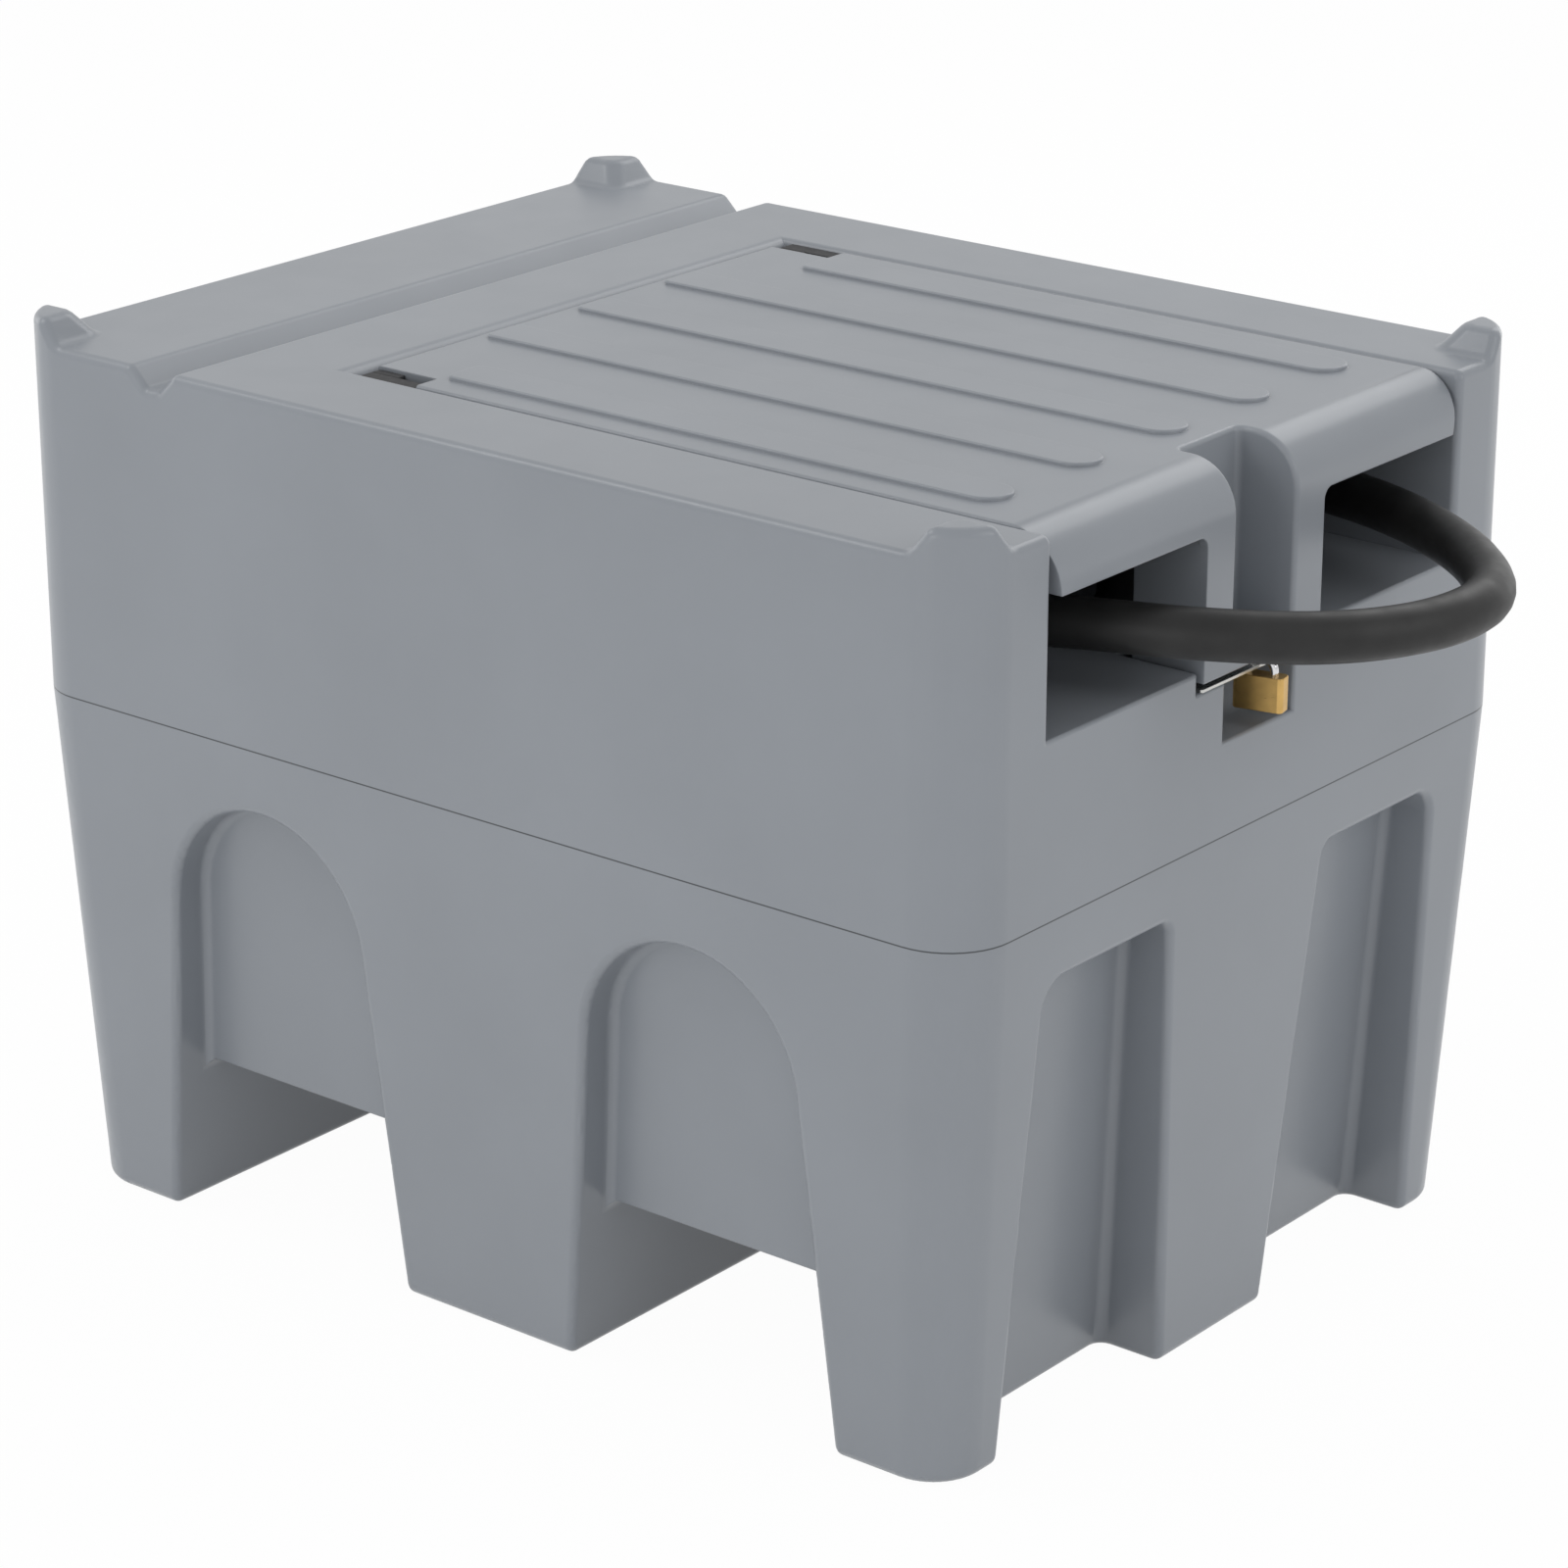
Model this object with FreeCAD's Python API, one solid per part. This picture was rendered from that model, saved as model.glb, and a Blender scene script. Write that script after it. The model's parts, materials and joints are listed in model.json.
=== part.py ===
import FreeCAD
import Part
import math
import os

from FreeCAD import Vector

# Portable fuel transfer tank, a rotational moulding with a hinged lid over its pump well.
# Millimetres. Origin under the middle of the tank, on the surface that it stands on.
# The front, where the hose loops out, faces -Y, and +Z is up.

X_AXIS = Vector(1, 0, 0)
Y_AXIS = Vector(0, 1, 0)
Z_AXIS = Vector(0, 0, 1)
TOUCH = 0.05

# Tank outline
LENGTH = 800.0
WIDTH = 614.0
TOP_Z = 611.0
PARTING_Z = TOP_Z - 244.6
CORNER_R = 45.0
FOOT_CORNER_R = 38.0
SIDE_DRAFT = 0.042
END_DRAFT = 0.0565
WALL = 6.0
TOP_EDGE_R = 6.0
FOOT_EDGE_R = 8.0
FRONT_Y = -LENGTH / 2

# Stacking lugs on the four top corners
LUG_HEIGHT = 17.0
LUG_TOP = 33.0
LUG_BASE = 46.0
LUG_CREST_R = 9.0
LUG_ROOT_R = 9.0
LUG_INNER_R = 12.0

# Two fork tunnels across the tank, between its three legs, with a shallow arch in each
# side above them
END_LEG = 108.0
MIDDLE_LEG_HALF = 74.0
TUNNEL_HALF = (LENGTH / 2 - END_LEG - MIDDLE_LEG_HALF) / 2
TUNNEL_Y = MIDDLE_LEG_HALF + TUNNEL_HALF
TUNNEL_Z = 108.0
TUNNEL_DRAFT = 0.10
ARCH_TOP_Z = PARTING_Z - 46.4
ARCH_FULL = 0.995
ARCH_DEPTH_TOP = 28.0
ARCH_DEPTH_FOOT = 42.0
ARCH_EDGE_R = 6.0
ARCH_INNER_R = 7.0

# Two recesses in each end
RECESS_TOP_Z = PARTING_Z - 42.4
RECESS_INNER_TOP = 88.0
RECESS_INNER_FOOT = 59.5
RECESS_OUTER_TOP = WIDTH / 2 - 89.0
RECESS_OUTER_FOOT = WIDTH / 2 - 72.0
RECESS_DEPTH_TOP = 38.0
RECESS_DEPTH_FOOT = 69.0
RECESS_OUTER_R = 20.0
RECESS_INNER_R = 10.0
RECESS_EDGE_R = 6.0
RECESS_INNER_EDGE_R = RECESS_TOP_Z / 40.5

# Pump well, open at the front above a sill
WELL_HALF = WIDTH / 2 - 82.0
WELL_REAR_Y = 161.5
WELL_FLOOR_Z = TOP_Z - 196.0
WELL_FRONT_Y = FRONT_Y + 108.0
WELL_CORNER_R = 25.0
SILL_Z = TOP_Z - 128.0
REAR_RIM_R = 11.0
WINDOW_EDGE_R = 5.0
SILL_EDGE_R = 2.5

# Notch and padlock pocket in the sill
NOTCH_HALF = 70.0
NOTCH_Z = SILL_Z - 14.0
NOTCH_REAR_Y = FRONT_Y + 62.0
POCKET_HALF = 39.0
POCKET_Z = SILL_Z - 53.0
POCKET_DEPTH = 36.0
POCKET_R = 10.0

# Strap groove across the top
GROOVE_Y = LENGTH / 2 - 135.5
GROOVE_HALF_TOP = 20.0
GROOVE_HALF_FLOOR = 6.0
GROOVE_DEPTH = 13.5
GROOVE_R = 5.0
GROOVE_LIP_R = 7.0

# Hinge shelf in each rear corner of the well
SHELF_WIDTH = 24.0
SHELF_FRONT_Y = WELL_REAR_Y - 61.5
SHELF_Z = TOP_Z - 23.0

# Filler neck and suction opening in the well floor
FILLER_X = 72.0
FILLER_Y = 53.0
FILLER_BORE_R = 31.0
FILLER_NECK_R = 37.0
FILLER_NECK_H = 22.0
CAP_R = 44.0
CAP_TOP_T = 8.0
CAP_GRIPS = 12
CAP_RUNNING = 0.4
GASKET_T = 3.0
SUCTION_X = -65.0
SUCTION_Y = 50.0
SUCTION_HOLE_R = 14.0
VENT_X = -20.0
VENT_Y = -205.0
VENT_HOLE_R = 8.0

# Lid
LID_GAP = 1.5
LID_HALF = WELL_HALF - LID_GAP
LID_REAR_Y = WELL_REAR_Y - 2.5
LID_FRONT_Y = FRONT_Y - 1.2
LID_TOP_Z = TOP_Z - 0.4
LID_WALL = 6.5
LID_BEND_R = 34.0
LID_SKIRT = 22.0
LID_SIDE_DRAFT = 0.18
LID_EDGE_R = 2.5
FLAP_Z = TOP_Z - 40.0
COLUMN_HALF = 64.8
COLUMN_Z = NOTCH_Z + 6.5
COLUMN_REAR_Y = FRONT_Y + 53.0
COLUMN_CORNER_R = 8.0
CHANNEL_HALF = 33.0
CHANNEL_DEPTH = 46.0
CHANNEL_EDGE_R = 3.5
LID_FLOOR = 7.0
SHACKLE_SLOT = 12.0
RIB_COUNT = 5
RIB_PITCH = 2 * (WELL_HALF - 42.4) / (RIB_COUNT - 1)
RIB_HALF = 17.0
RIB_HEIGHT = 2.6
RIB_FRONT_Y = FRONT_Y + 63.0
RIB_REAR_Y = LID_REAR_Y - 7.0
LID_NOTCH_WIDTH = 22.0
LID_NOTCH_FRONT_Y = SHELF_FRONT_Y + 7.0
RIB_SHORT_REAR_Y = LID_NOTCH_FRONT_Y - 4.0

# Lid hinges
HINGE_Y = WELL_REAR_Y - 6.0
HINGE_Z = TOP_Z - 6.0
HINGE_PIN_R = 2.0
HINGE_RUNNING = 0.05
HINGE_PAD_Z = HINGE_Z + 3.5
HINGE_BASE_WIDTH = 12.6
HINGE_LEAF_WIDTH = 7.0
HINGE_SIDE_GAP = 0.6
HINGE_LEAF_T = 4.0
HINGE_LEAF_REACH = 30.0
HINGE_SCREW_R = 2.2
HINGE_SCREW_HEAD_R = 4.2
HINGE_SCREW_HEAD = 2.6
SCREW_GRIP = 4.0

# Lock plate and padlock
PLATE_T = 2.0
PLATE_HALF = 64.0
PLATE_FRONT_Y = FRONT_Y + 0.4
PLATE_REAR_Y = FRONT_Y + 58.0
PLATE_HOLE_R = 5.0
PLATE_SCREW_X = 52.0
PLATE_SCREW_Y = FRONT_Y + 46.0
BUFFER_R = 7.0
BUFFER_Y = FRONT_Y + 26.0
PADLOCK_X = 3.0
PADLOCK_Y = FRONT_Y + 1.5
PADLOCK_TURN = 12.0
PADLOCK_WIDTH = 34.0
PADLOCK_THICK = 13.0
PADLOCK_HEIGHT = 23.0
PADLOCK_TOP_Z = NOTCH_Z - 5.0
PADLOCK_BASE_Z = PADLOCK_TOP_Z - PADLOCK_HEIGHT
SHACKLE_R = 2.75
SHACKLE_SPAN = 9.0
SHACKLE_LEG = 14.0
SHACKLE_STAND = 2.2
SHACKLE_TRAVEL = 6.0
CYLINDER_R = 4.5

# Pump group, on one axis along X
PUMP_Y = -40.0
PUMP_Z = WELL_FLOOR_Z + 67.0
BASE_T = 3.0
MOTOR_X0 = -45.0
MOTOR_X1 = 95.0
MOTOR_R = 45.0
MOTOR_BORE_R = 41.0
MAGNET_R = 37.0
END_CAP_T = 12.0
HEAD_X0 = -85.0
HEAD_R = 55.0
CHAMBER_R = 42.0
CHAMBER_DEPTH = 22.0
COVER_T = 18.0
COVER_R = 52.0
COVER_BOLTS = 6
COVER_BOLT_PCD = 94.0
COVER_BOLT_R = 2.5
SHAFT_R = 6.0
BEARING_R = 14.0
BEARING_T = 9.0
IMPELLER_R = 41.4
IMPELLER_T = 14.0
IMPELLER_BLADES = 18
ARMATURE_R = 35.0
ARMATURE_X0 = -28.0
ARMATURE_X1 = 48.0
ARMATURE_SLOTS = 12
COMMUTATOR_R = 14.0
PORT_R = 17.0
PORT_BORE_R = 10.0
PORT_REACH = 70.0
FOOT_HALF = 30.0
BASE_X0 = -108.0
BASE_X1 = 108.0
BASE_HALF = 50.0
BASE_BOLT_R = 4.0
BASE_BOLT_HEAD_R = 7.0
SWITCH_BOX_X0 = 5.0
SWITCH_BOX_X1 = 75.0
SWITCH_BOX_HALF = 24.0
SWITCH_BOX_TOP_Z = PUMP_Z + 78.0
ROCKER_X = 40.0
ROCKER_HALF_X = 7.0
ROCKER_HALF_Y = 12.0
ROCKER_RUNNING = 0.4
GLAND_R = 9.0
GLAND_BORE_R = 4.0
GLAND_REACH = 22.0

# Suction line
PIPE_R = 11.0
PIPE_BORE_R = 8.5
ELBOW_R = 25.0
PIPE_FOOT_Z = 40.0
STRAINER_R = 15.0
STRAINER_Z0 = 14.0
STRAINER_Z1 = 70.0
FLANGE_R = 38.0
FLANGE_T = 8.0

# Outlet and hose. The route is the hose's centre line: from the pump, round the well
# once and a half, out of the left opening, back through the right one and to the nozzle.
HOSE_R = 16.25
FERRULE_R = 18.5
FERRULE_LENGTH = 40.0
OUTLET_Y = -165.0
COIL_X = 0.0
COIL_Y = -55.0
COIL_R = 202.0
COIL_STEP = 30.0
COIL_POINTS = 17
COIL_FIRST = 45.0
COIL_Z = 432.0
COIL_RISE_FROM = 6
COIL_RISE_TO = 10
COIL_UPPER_Z = 467.0
LEAD_POINTS = [(5, -165, 482), (62, -165, 482), (124, -146, 458), (170, -86, 435), (191, -25, 432),
               (184, 34, 432)]
LOOP_POINTS = [(-196, -107, 476), (-182, -196, 500), (-163, -275, 520), (-141, -350, 526),
               (-112, -430, 526), (-66, -496, 525), (2, -527, 523), (68, -526, 523),
               (117, -486, 524), (152, -437, 525), (176, -385, 526), (191, -330, 526),
               (198, -270, 526), (201, -200, 525), (202, -130, 524), (201, -50, 523),
               (200, 53, 522), (172, 101, 522), (125, 128, 522)]

# Nozzle, lying along X on its holder with the spout to the left
NOZZLE_Y = WELL_REAR_Y - 33.5
NOZZLE_Z = WELL_FLOOR_Z + 107.0
VALVE_X = 173.0 - WELL_HALF
VALVE_R = 22.0
GRIP_R = 15.0
GRIP_X0 = VALVE_X + 17.0
NOZZLE_X = VALVE_X + 82.0
SPOUT_R = 10.5
SPOUT_BORE_R = 8.5
SPOUT_STRAIGHT = 60.0
SPOUT_REACH = 50.0
SPOUT_BEND_R = 80.0
SPOUT_BEND = 24.0
GUARD_R = 4.0
GUARD_DROP = 58.0
GUARD_BEND_R = 14.0
TRIGGER_T = 7.0
TRIGGER_PIN_R = 2.5
HOLDER_T = 3.0
HOLDER_WIDTH = 52.0
CRADLE_T = 6.0

parts = {}


def keep(name, shape):
    """Remember a finished sub-part under its node name."""
    parts[name] = shape


def fuse_all(shapes):
    """Join several solids into one and drop the seams between them."""
    first = shapes[0]
    if len(shapes) == 1:
        return first
    return first.multiFuse(shapes[1:]).removeSplitter()


def box(x0, x1, y0, y1, z0, z1):
    """Box between two corners."""
    return Part.makeBox(x1 - x0, y1 - y0, z1 - z0, Vector(x0, y0, z0))


def rod(radius, start, end):
    """Solid cylinder between two points."""
    a = Vector(*start)
    b = Vector(*end)
    return Part.makeCylinder(radius, (b - a).Length, a, b - a)


def post(radius, x, y, z0, z1):
    """Upright cylinder between two heights."""
    return rod(radius, (x, y, z0), (x, y, z1))


def tube(outer, inner, start, end):
    """Hollow cylinder between two points."""
    return rod(outer, start, end).cut(rod(inner, start, end))


def rounded_path(points, radii):
    """Closed wire through the points, each corner rounded by its own radius."""
    count = len(points)
    edges = []
    starts = []
    ends = []
    mids = []
    for i in range(count):
        p = points[i]
        before = (points[i - 1] - p).normalize()
        after = (points[(i + 1) % count] - p).normalize()
        r = radii[i]
        if r <= 0:
            starts.append(p)
            ends.append(p)
            mids.append(None)
            continue
        half = before.getAngle(after) / 2
        reach = r / math.tan(half)
        bisector = (before + after).normalize()
        centre = p + bisector * (r / math.sin(half))
        starts.append(p + before * reach)
        ends.append(p + after * reach)
        mids.append(centre - bisector * r)
    for i in range(count):
        if mids[i] is not None:
            edges.append(Part.Arc(starts[i], mids[i], ends[i]).toShape())
        following = starts[(i + 1) % count]
        if (following - ends[i]).Length > 1e-6:
            edges.append(Part.makeLine(ends[i], following))
    return Part.Wire(edges)


def prism(points, radii, direction):
    """Solid made by pushing a rounded outline along a direction."""
    return Part.Face(rounded_path(points, radii)).extrude(direction)


def yz_prism(profile, radii, x0, x1):
    """Prism whose outline is given as (y, z) pairs."""
    return prism([Vector(x0, y, z) for y, z in profile], radii, Vector(x1 - x0, 0, 0))


def xz_prism(profile, radii, y0, y1):
    """Prism whose outline is given as (x, z) pairs."""
    return prism([Vector(x, y0, z) for x, z in profile], radii, Vector(0, y1 - y0, 0))


def xy_prism(profile, radii, z0, z1):
    """Prism whose outline is given as (x, y) pairs."""
    return prism([Vector(x, y, z0) for x, y in profile], radii, Vector(0, 0, z1 - z0))


def rectangle(half_x, half_y, radius, z):
    """Rounded rectangle around the origin at one height."""
    corners = [(-half_x, -half_y), (half_x, -half_y), (half_x, half_y), (-half_x, half_y)]
    return rounded_path([Vector(x, y, z) for x, y in corners], [radius] * 4)


def mirror_x(shape):
    """The same shape on the other side of the middle."""
    return shape.mirror(Vector(0, 0, 0), X_AXIS)


def mirror_y(shape):
    """The same shape at the other end."""
    return shape.mirror(Vector(0, 0, 0), Y_AXIS)


def four_corners(shape):
    """A shape with its three mirror images."""
    pair = [shape, mirror_x(shape)]
    return pair + [mirror_y(item) for item in pair]


# Picking edges

def edges_on(shape, test):
    """Edges whose ends and middle all pass a test."""
    found = []
    for edge in shape.Edges:
        if edge.Length > 0.01 and all(test(point) for point in edge.discretize(3)):
            found.append(edge)
    return found


def middle_edges(shape, test):
    """Edges whose middle passes a test."""
    return [edge for edge in shape.Edges if edge.Length > 0.01 and test(edge.discretize(3)[1])]


# Tank

def tank_block(inset):
    """The tank's plain outside, or with an inset the space inside its wall."""
    half_x = WIDTH / 2 - inset
    half_y = LENGTH / 2 - inset
    foot_z = inset
    foot_x = half_x - (PARTING_Z - foot_z) * SIDE_DRAFT
    foot_y = half_y - (PARTING_Z - foot_z) * END_DRAFT
    lower = Part.makeLoft([rectangle(foot_x, foot_y, FOOT_CORNER_R - inset, foot_z),
                           rectangle(half_x, half_y, CORNER_R - inset, PARTING_Z)], True, True)
    upper = Part.Face(rectangle(half_x, half_y, CORNER_R - inset, PARTING_Z))
    upper = upper.extrude(Vector(0, 0, TOP_Z - inset - PARTING_Z))
    return lower.fuse(upper)


def lug_outline(z):
    """Plan of the left front lug at one height, reaching past the tank's corner."""
    reach = LUG_BASE - (LUG_BASE - LUG_TOP) * (z - TOP_Z) / LUG_HEIGHT
    left = -WIDTH / 2
    front = FRONT_Y
    over = CORNER_R
    corners = [(left - over, front - over), (left + reach, front - over), (left + reach, front + reach),
               (left - over, front + reach)]
    return rounded_path([Vector(x, y, z) for x, y in corners], [0, 0, LUG_INNER_R, 0])


def lugs():
    """Four stacking lugs with drafted inner sides, trimmed to the tank's outline."""
    crest = TOP_Z + LUG_HEIGHT
    pad = Part.makeLoft([lug_outline(TOP_Z - WALL / 2), lug_outline(crest)], True, True)
    trim = Part.Face(rectangle(WIDTH / 2, LENGTH / 2, CORNER_R, PARTING_Z))
    pad = pad.common(trim.extrude(Vector(0, 0, crest - PARTING_Z)))
    return four_corners(pad)


def blend_lugs(body):
    """Round the crest and the root of each lug."""
    levels = [(TOP_Z + LUG_HEIGHT, LUG_CREST_R), (TOP_Z, LUG_ROOT_R)]
    for level, radius in levels:
        found = []
        for edge in body.Edges:
            middle = edge.discretize(3)[1]
            flat = edge.BoundBox.ZLength < 0.01 and abs(middle.z - level) < 0.02
            if flat and off_outline(middle, WIDTH / 2, LENGTH / 2, CORNER_R) > 3:
                found.append(edge)
        body = body.makeFillet(radius, found)
    return body


def tunnel_half(z, grow):
    """Half width of a fork tunnel or its arch at one height."""
    return TUNNEL_HALF + grow - TUNNEL_DRAFT * z


def tunnel_cutter(y, grow):
    """Fork tunnel through the whole width."""
    low = -20.0
    high = TUNNEL_Z + grow
    profile = [(y - tunnel_half(low, grow), low), (y + tunnel_half(low, grow), low),
               (y + tunnel_half(high, grow), high), (y - tunnel_half(high, grow), high)]
    radii = [0, 0, 12, 12]
    return yz_prism(profile, radii, -WIDTH, WIDTH)


def arch_cutter(y, grow):
    """Arched recess above a fork tunnel, in the left side."""
    low = -20.0
    high = ARCH_TOP_Z + grow
    outline = [(y - tunnel_half(low, grow), low), (y + tunnel_half(low, grow), low),
               (y + tunnel_half(high, grow), high), (y - tunnel_half(high, grow), high)]
    lean_out = math.sqrt(1 + TUNNEL_DRAFT ** 2) - TUNNEL_DRAFT
    crown = ARCH_FULL * tunnel_half(high, grow) / lean_out
    across = yz_prism(outline, [0, 0, crown, crown], -WIDTH, 0)
    side = -WIDTH / 2
    lean = (ARCH_DEPTH_FOOT - ARCH_DEPTH_TOP) / (ARCH_TOP_Z - TUNNEL_Z)
    low_x = side + grow + ARCH_DEPTH_FOOT + lean * (TUNNEL_Z - low)
    high_x = side + grow + ARCH_DEPTH_TOP - lean * (high - ARCH_TOP_Z)
    depth = [(side - 40, low), (low_x, low), (high_x, high), (side - 40, high)]
    cutter = across.common(xz_prism(depth, [0, 0, 0, 0], -LENGTH, LENGTH))

    def on_back(p):
        return abs(p.x - low_x - (high_x - low_x) * (p.z - low) / (high - low)) < 0.05 and p.z > low + 1

    return cutter.makeFillet(ARCH_INNER_R + grow, middle_edges(cutter, on_back))


def recess_cutter(grow):
    """Recess in the left half of the front."""
    low = -20.0
    high = RECESS_TOP_Z + grow
    inner_lean = (RECESS_INNER_TOP - RECESS_INNER_FOOT) / RECESS_TOP_Z
    outer_lean = (RECESS_OUTER_FOOT - RECESS_OUTER_TOP) / RECESS_TOP_Z
    inner_low = RECESS_INNER_FOOT + inner_lean * low - grow
    inner_high = RECESS_INNER_FOOT + inner_lean * high - grow
    outer_low = RECESS_OUTER_FOOT - outer_lean * low + grow
    outer_high = RECESS_OUTER_FOOT - outer_lean * high + grow
    outline = [(-outer_low, low), (-inner_low, low), (-inner_high, high), (-outer_high, high)]
    radii = [0, 0, RECESS_INNER_R, RECESS_OUTER_R + grow]
    front = FRONT_Y
    across = xz_prism(outline, radii, front - 40, 0)
    lean = (RECESS_DEPTH_FOOT - RECESS_DEPTH_TOP) / RECESS_TOP_Z
    low_y = front + grow + RECESS_DEPTH_FOOT - lean * low
    high_y = front + grow + RECESS_DEPTH_FOOT - lean * high
    depth = [(front - 40, low), (low_y, low), (high_y, high), (front - 40, high)]
    cutter = across.common(yz_prism(depth, [0, 0, 0, 0], -WIDTH, WIDTH))

    def on_back(p):
        return abs(p.y - low_y - (high_y - low_y) * (p.z - low) / (high - low)) < 0.05 and p.z > low + 1

    return cutter.makeFillet(RECESS_INNER_EDGE_R + grow, middle_edges(cutter, on_back))


def well_cutter(grow):
    """Pump well, its front window, the notch and the padlock pocket."""
    half = WELL_HALF + grow
    front = FRONT_Y - 20
    rear = WELL_REAR_Y + grow
    over = TOP_Z + 60
    radius = WELL_CORNER_R + grow
    window = box(-half, half, front, WELL_FRONT_Y + radius, SILL_Z - grow, over)
    plan = [(-half, WELL_FRONT_Y - grow), (half, WELL_FRONT_Y - grow), (half, rear), (-half, rear)]
    pit = xy_prism(plan, [radius, radius, 0, 0], WELL_FLOOR_Z - grow, over)
    notch = box(-NOTCH_HALF - grow, NOTCH_HALF + grow, front, NOTCH_REAR_Y + grow,
                NOTCH_Z - grow, SILL_Z + 10)
    pocket_rear = FRONT_Y + POCKET_DEPTH + grow
    pocket = yz_prism([(front, POCKET_Z - grow), (pocket_rear, POCKET_Z - grow),
                       (pocket_rear, SILL_Z), (front, SILL_Z)], [0, POCKET_R, 0, 0],
                      -POCKET_HALF - grow, POCKET_HALF + grow)
    shelf = box(-half - 10, -WELL_HALF + SHELF_WIDTH - grow, SHELF_FRONT_Y + grow, rear + 10,
                WELL_FLOOR_Z - 20, SHELF_Z - grow)
    pit = pit.cut(fuse_all([shelf, mirror_x(shelf)]))
    return fuse_all([pit, window, notch, pocket])


def groove_cutter(grow):
    """Strap groove across the top near the rear."""
    floor_z = TOP_Z - GROOVE_DEPTH - grow
    over = TOP_Z + 30
    rise = (over - TOP_Z + GROOVE_DEPTH) / GROOVE_DEPTH
    top_half = GROOVE_HALF_FLOOR + (GROOVE_HALF_TOP - GROOVE_HALF_FLOOR) * rise + grow
    low_half = GROOVE_HALF_FLOOR + grow
    profile = [(GROOVE_Y - top_half, over), (GROOVE_Y - low_half, floor_z),
               (GROOVE_Y + low_half, floor_z), (GROOVE_Y + top_half, over)]
    return yz_prism(profile, [0, GROOVE_R, GROOVE_R, 0], -WIDTH, WIDTH)


def tank_cutters(grow):
    """Everything that is hollowed into the outside of the tank."""
    cutters = [tunnel_cutter(TUNNEL_Y, grow), tunnel_cutter(-TUNNEL_Y, grow), groove_cutter(grow),
               well_cutter(grow)]
    cutters += four_corners(arch_cutter(TUNNEL_Y, grow))
    cutters += four_corners(recess_cutter(grow))
    return cutters


def off_outline(point, half_x, half_y, radius):
    """How far a point lies from a rounded rectangle's edge."""
    past_x = abs(point.x) - (half_x - radius)
    past_y = abs(point.y) - (half_y - radius)
    if past_x > 0 and past_y > 0:
        return abs(math.hypot(past_x, past_y) - radius)
    if past_x > 0:
        return abs(abs(point.x) - half_x)
    return abs(abs(point.y) - half_y)


def round_outside(body):
    """Soft edges of the moulding, each group with its own radius."""
    half_x = WIDTH / 2
    half_y = LENGTH / 2
    foot_x = half_x - PARTING_Z * SIDE_DRAFT
    foot_y = half_y - PARTING_Z * END_DRAFT
    near = 0.02

    def on_top_edge(p):
        return p.z > TOP_Z - GROOVE_DEPTH - 1 and off_outline(p, half_x, half_y, CORNER_R) < near

    def on_foot_edge(p):
        return abs(p.z) < near and off_outline(p, foot_x, foot_y, FOOT_CORNER_R) < near

    def on_side(p):
        side = half_x - (PARTING_Z - p.z) * SIDE_DRAFT
        return 0.5 < p.z < PARTING_Z - 1 and abs(abs(p.x) - side) < near and abs(p.y) < half_y - 60

    def on_end(p):
        end = half_y - (PARTING_Z - p.z) * END_DRAFT
        return 0.5 < p.z < PARTING_Z - 1 and abs(abs(p.y) - end) < near and abs(p.x) < half_x - 50

    def on_rear_rim(p):
        return abs(p.y - WELL_REAR_Y) < near and abs(p.z - TOP_Z) < near

    def on_window(p):
        return abs(abs(p.x) - WELL_HALF) < near and abs(p.y + half_y) < near

    def on_mouth(p):
        front = abs(p.y - FRONT_Y) < near and abs(p.x) < WELL_HALF + near
        return front and POCKET_Z - near < p.z < TOP_Z - 3 * TOP_EDGE_R

    def on_sill_rear(p):
        return abs(p.y - WELL_FRONT_Y) < near and abs(p.z - SILL_Z) < near

    def on_groove_lip(p):
        return abs(abs(p.y - GROOVE_Y) - GROOVE_HALF_TOP) < 0.3 and abs(p.z - TOP_Z) < near

    groups = [(on_rear_rim, REAR_RIM_R), (on_top_edge, TOP_EDGE_R), (on_window, WINDOW_EDGE_R),
              (on_foot_edge, FOOT_EDGE_R), (on_side, ARCH_EDGE_R), (on_end, RECESS_EDGE_R),
              (on_groove_lip, GROOVE_LIP_R), (on_mouth, SILL_EDGE_R), (on_sill_rear, SILL_EDGE_R)]
    for test, radius in groups:
        body = body.makeFillet(radius, edges_on(body, test))
    return body


def tank_body():
    """One hollow moulding with an even wall."""
    body = blend_lugs(fuse_all([tank_block(0)] + lugs()))
    for cutter in tank_cutters(0):
        body = body.cut(cutter)
    body = round_outside(body)
    inside = tank_block(WALL)
    for cutter in tank_cutters(WALL):
        inside = inside.cut(cutter)
    neck_top = WELL_FLOOR_Z + FILLER_NECK_H
    below = WELL_FLOOR_Z - 2 * WALL
    body = body.fuse(post(FILLER_NECK_R, FILLER_X, FILLER_Y, WELL_FLOOR_Z - WALL / 2, neck_top))
    body = body.cut(inside)
    body = body.cut(post(FILLER_BORE_R, FILLER_X, FILLER_Y, below, neck_top + 1))
    body = body.cut(post(SUCTION_HOLE_R, SUCTION_X, SUCTION_Y, below, WELL_FLOOR_Z + 1))
    body = body.cut(post(VENT_HOLE_R, VENT_X, VENT_Y, below, WELL_FLOOR_Z + 1))
    return body


# Lid

def lid_side_profile(inset):
    """Lid seen from its side, as (y, z) with radii."""
    top = LID_TOP_Z - inset
    front = LID_FRONT_Y + inset
    rear = LID_REAR_Y - inset
    skirt = LID_TOP_Z - LID_SKIRT - 1
    points = [(front, FLAP_Z - 10), (front, top), (rear, top), (rear, skirt - 10),
              (front + 60, skirt - 10), (front + 60, FLAP_Z - 10)]
    return points, [0, LID_BEND_R - inset, max(LID_EDGE_R - inset, 0), 0, 0, 0]


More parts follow.
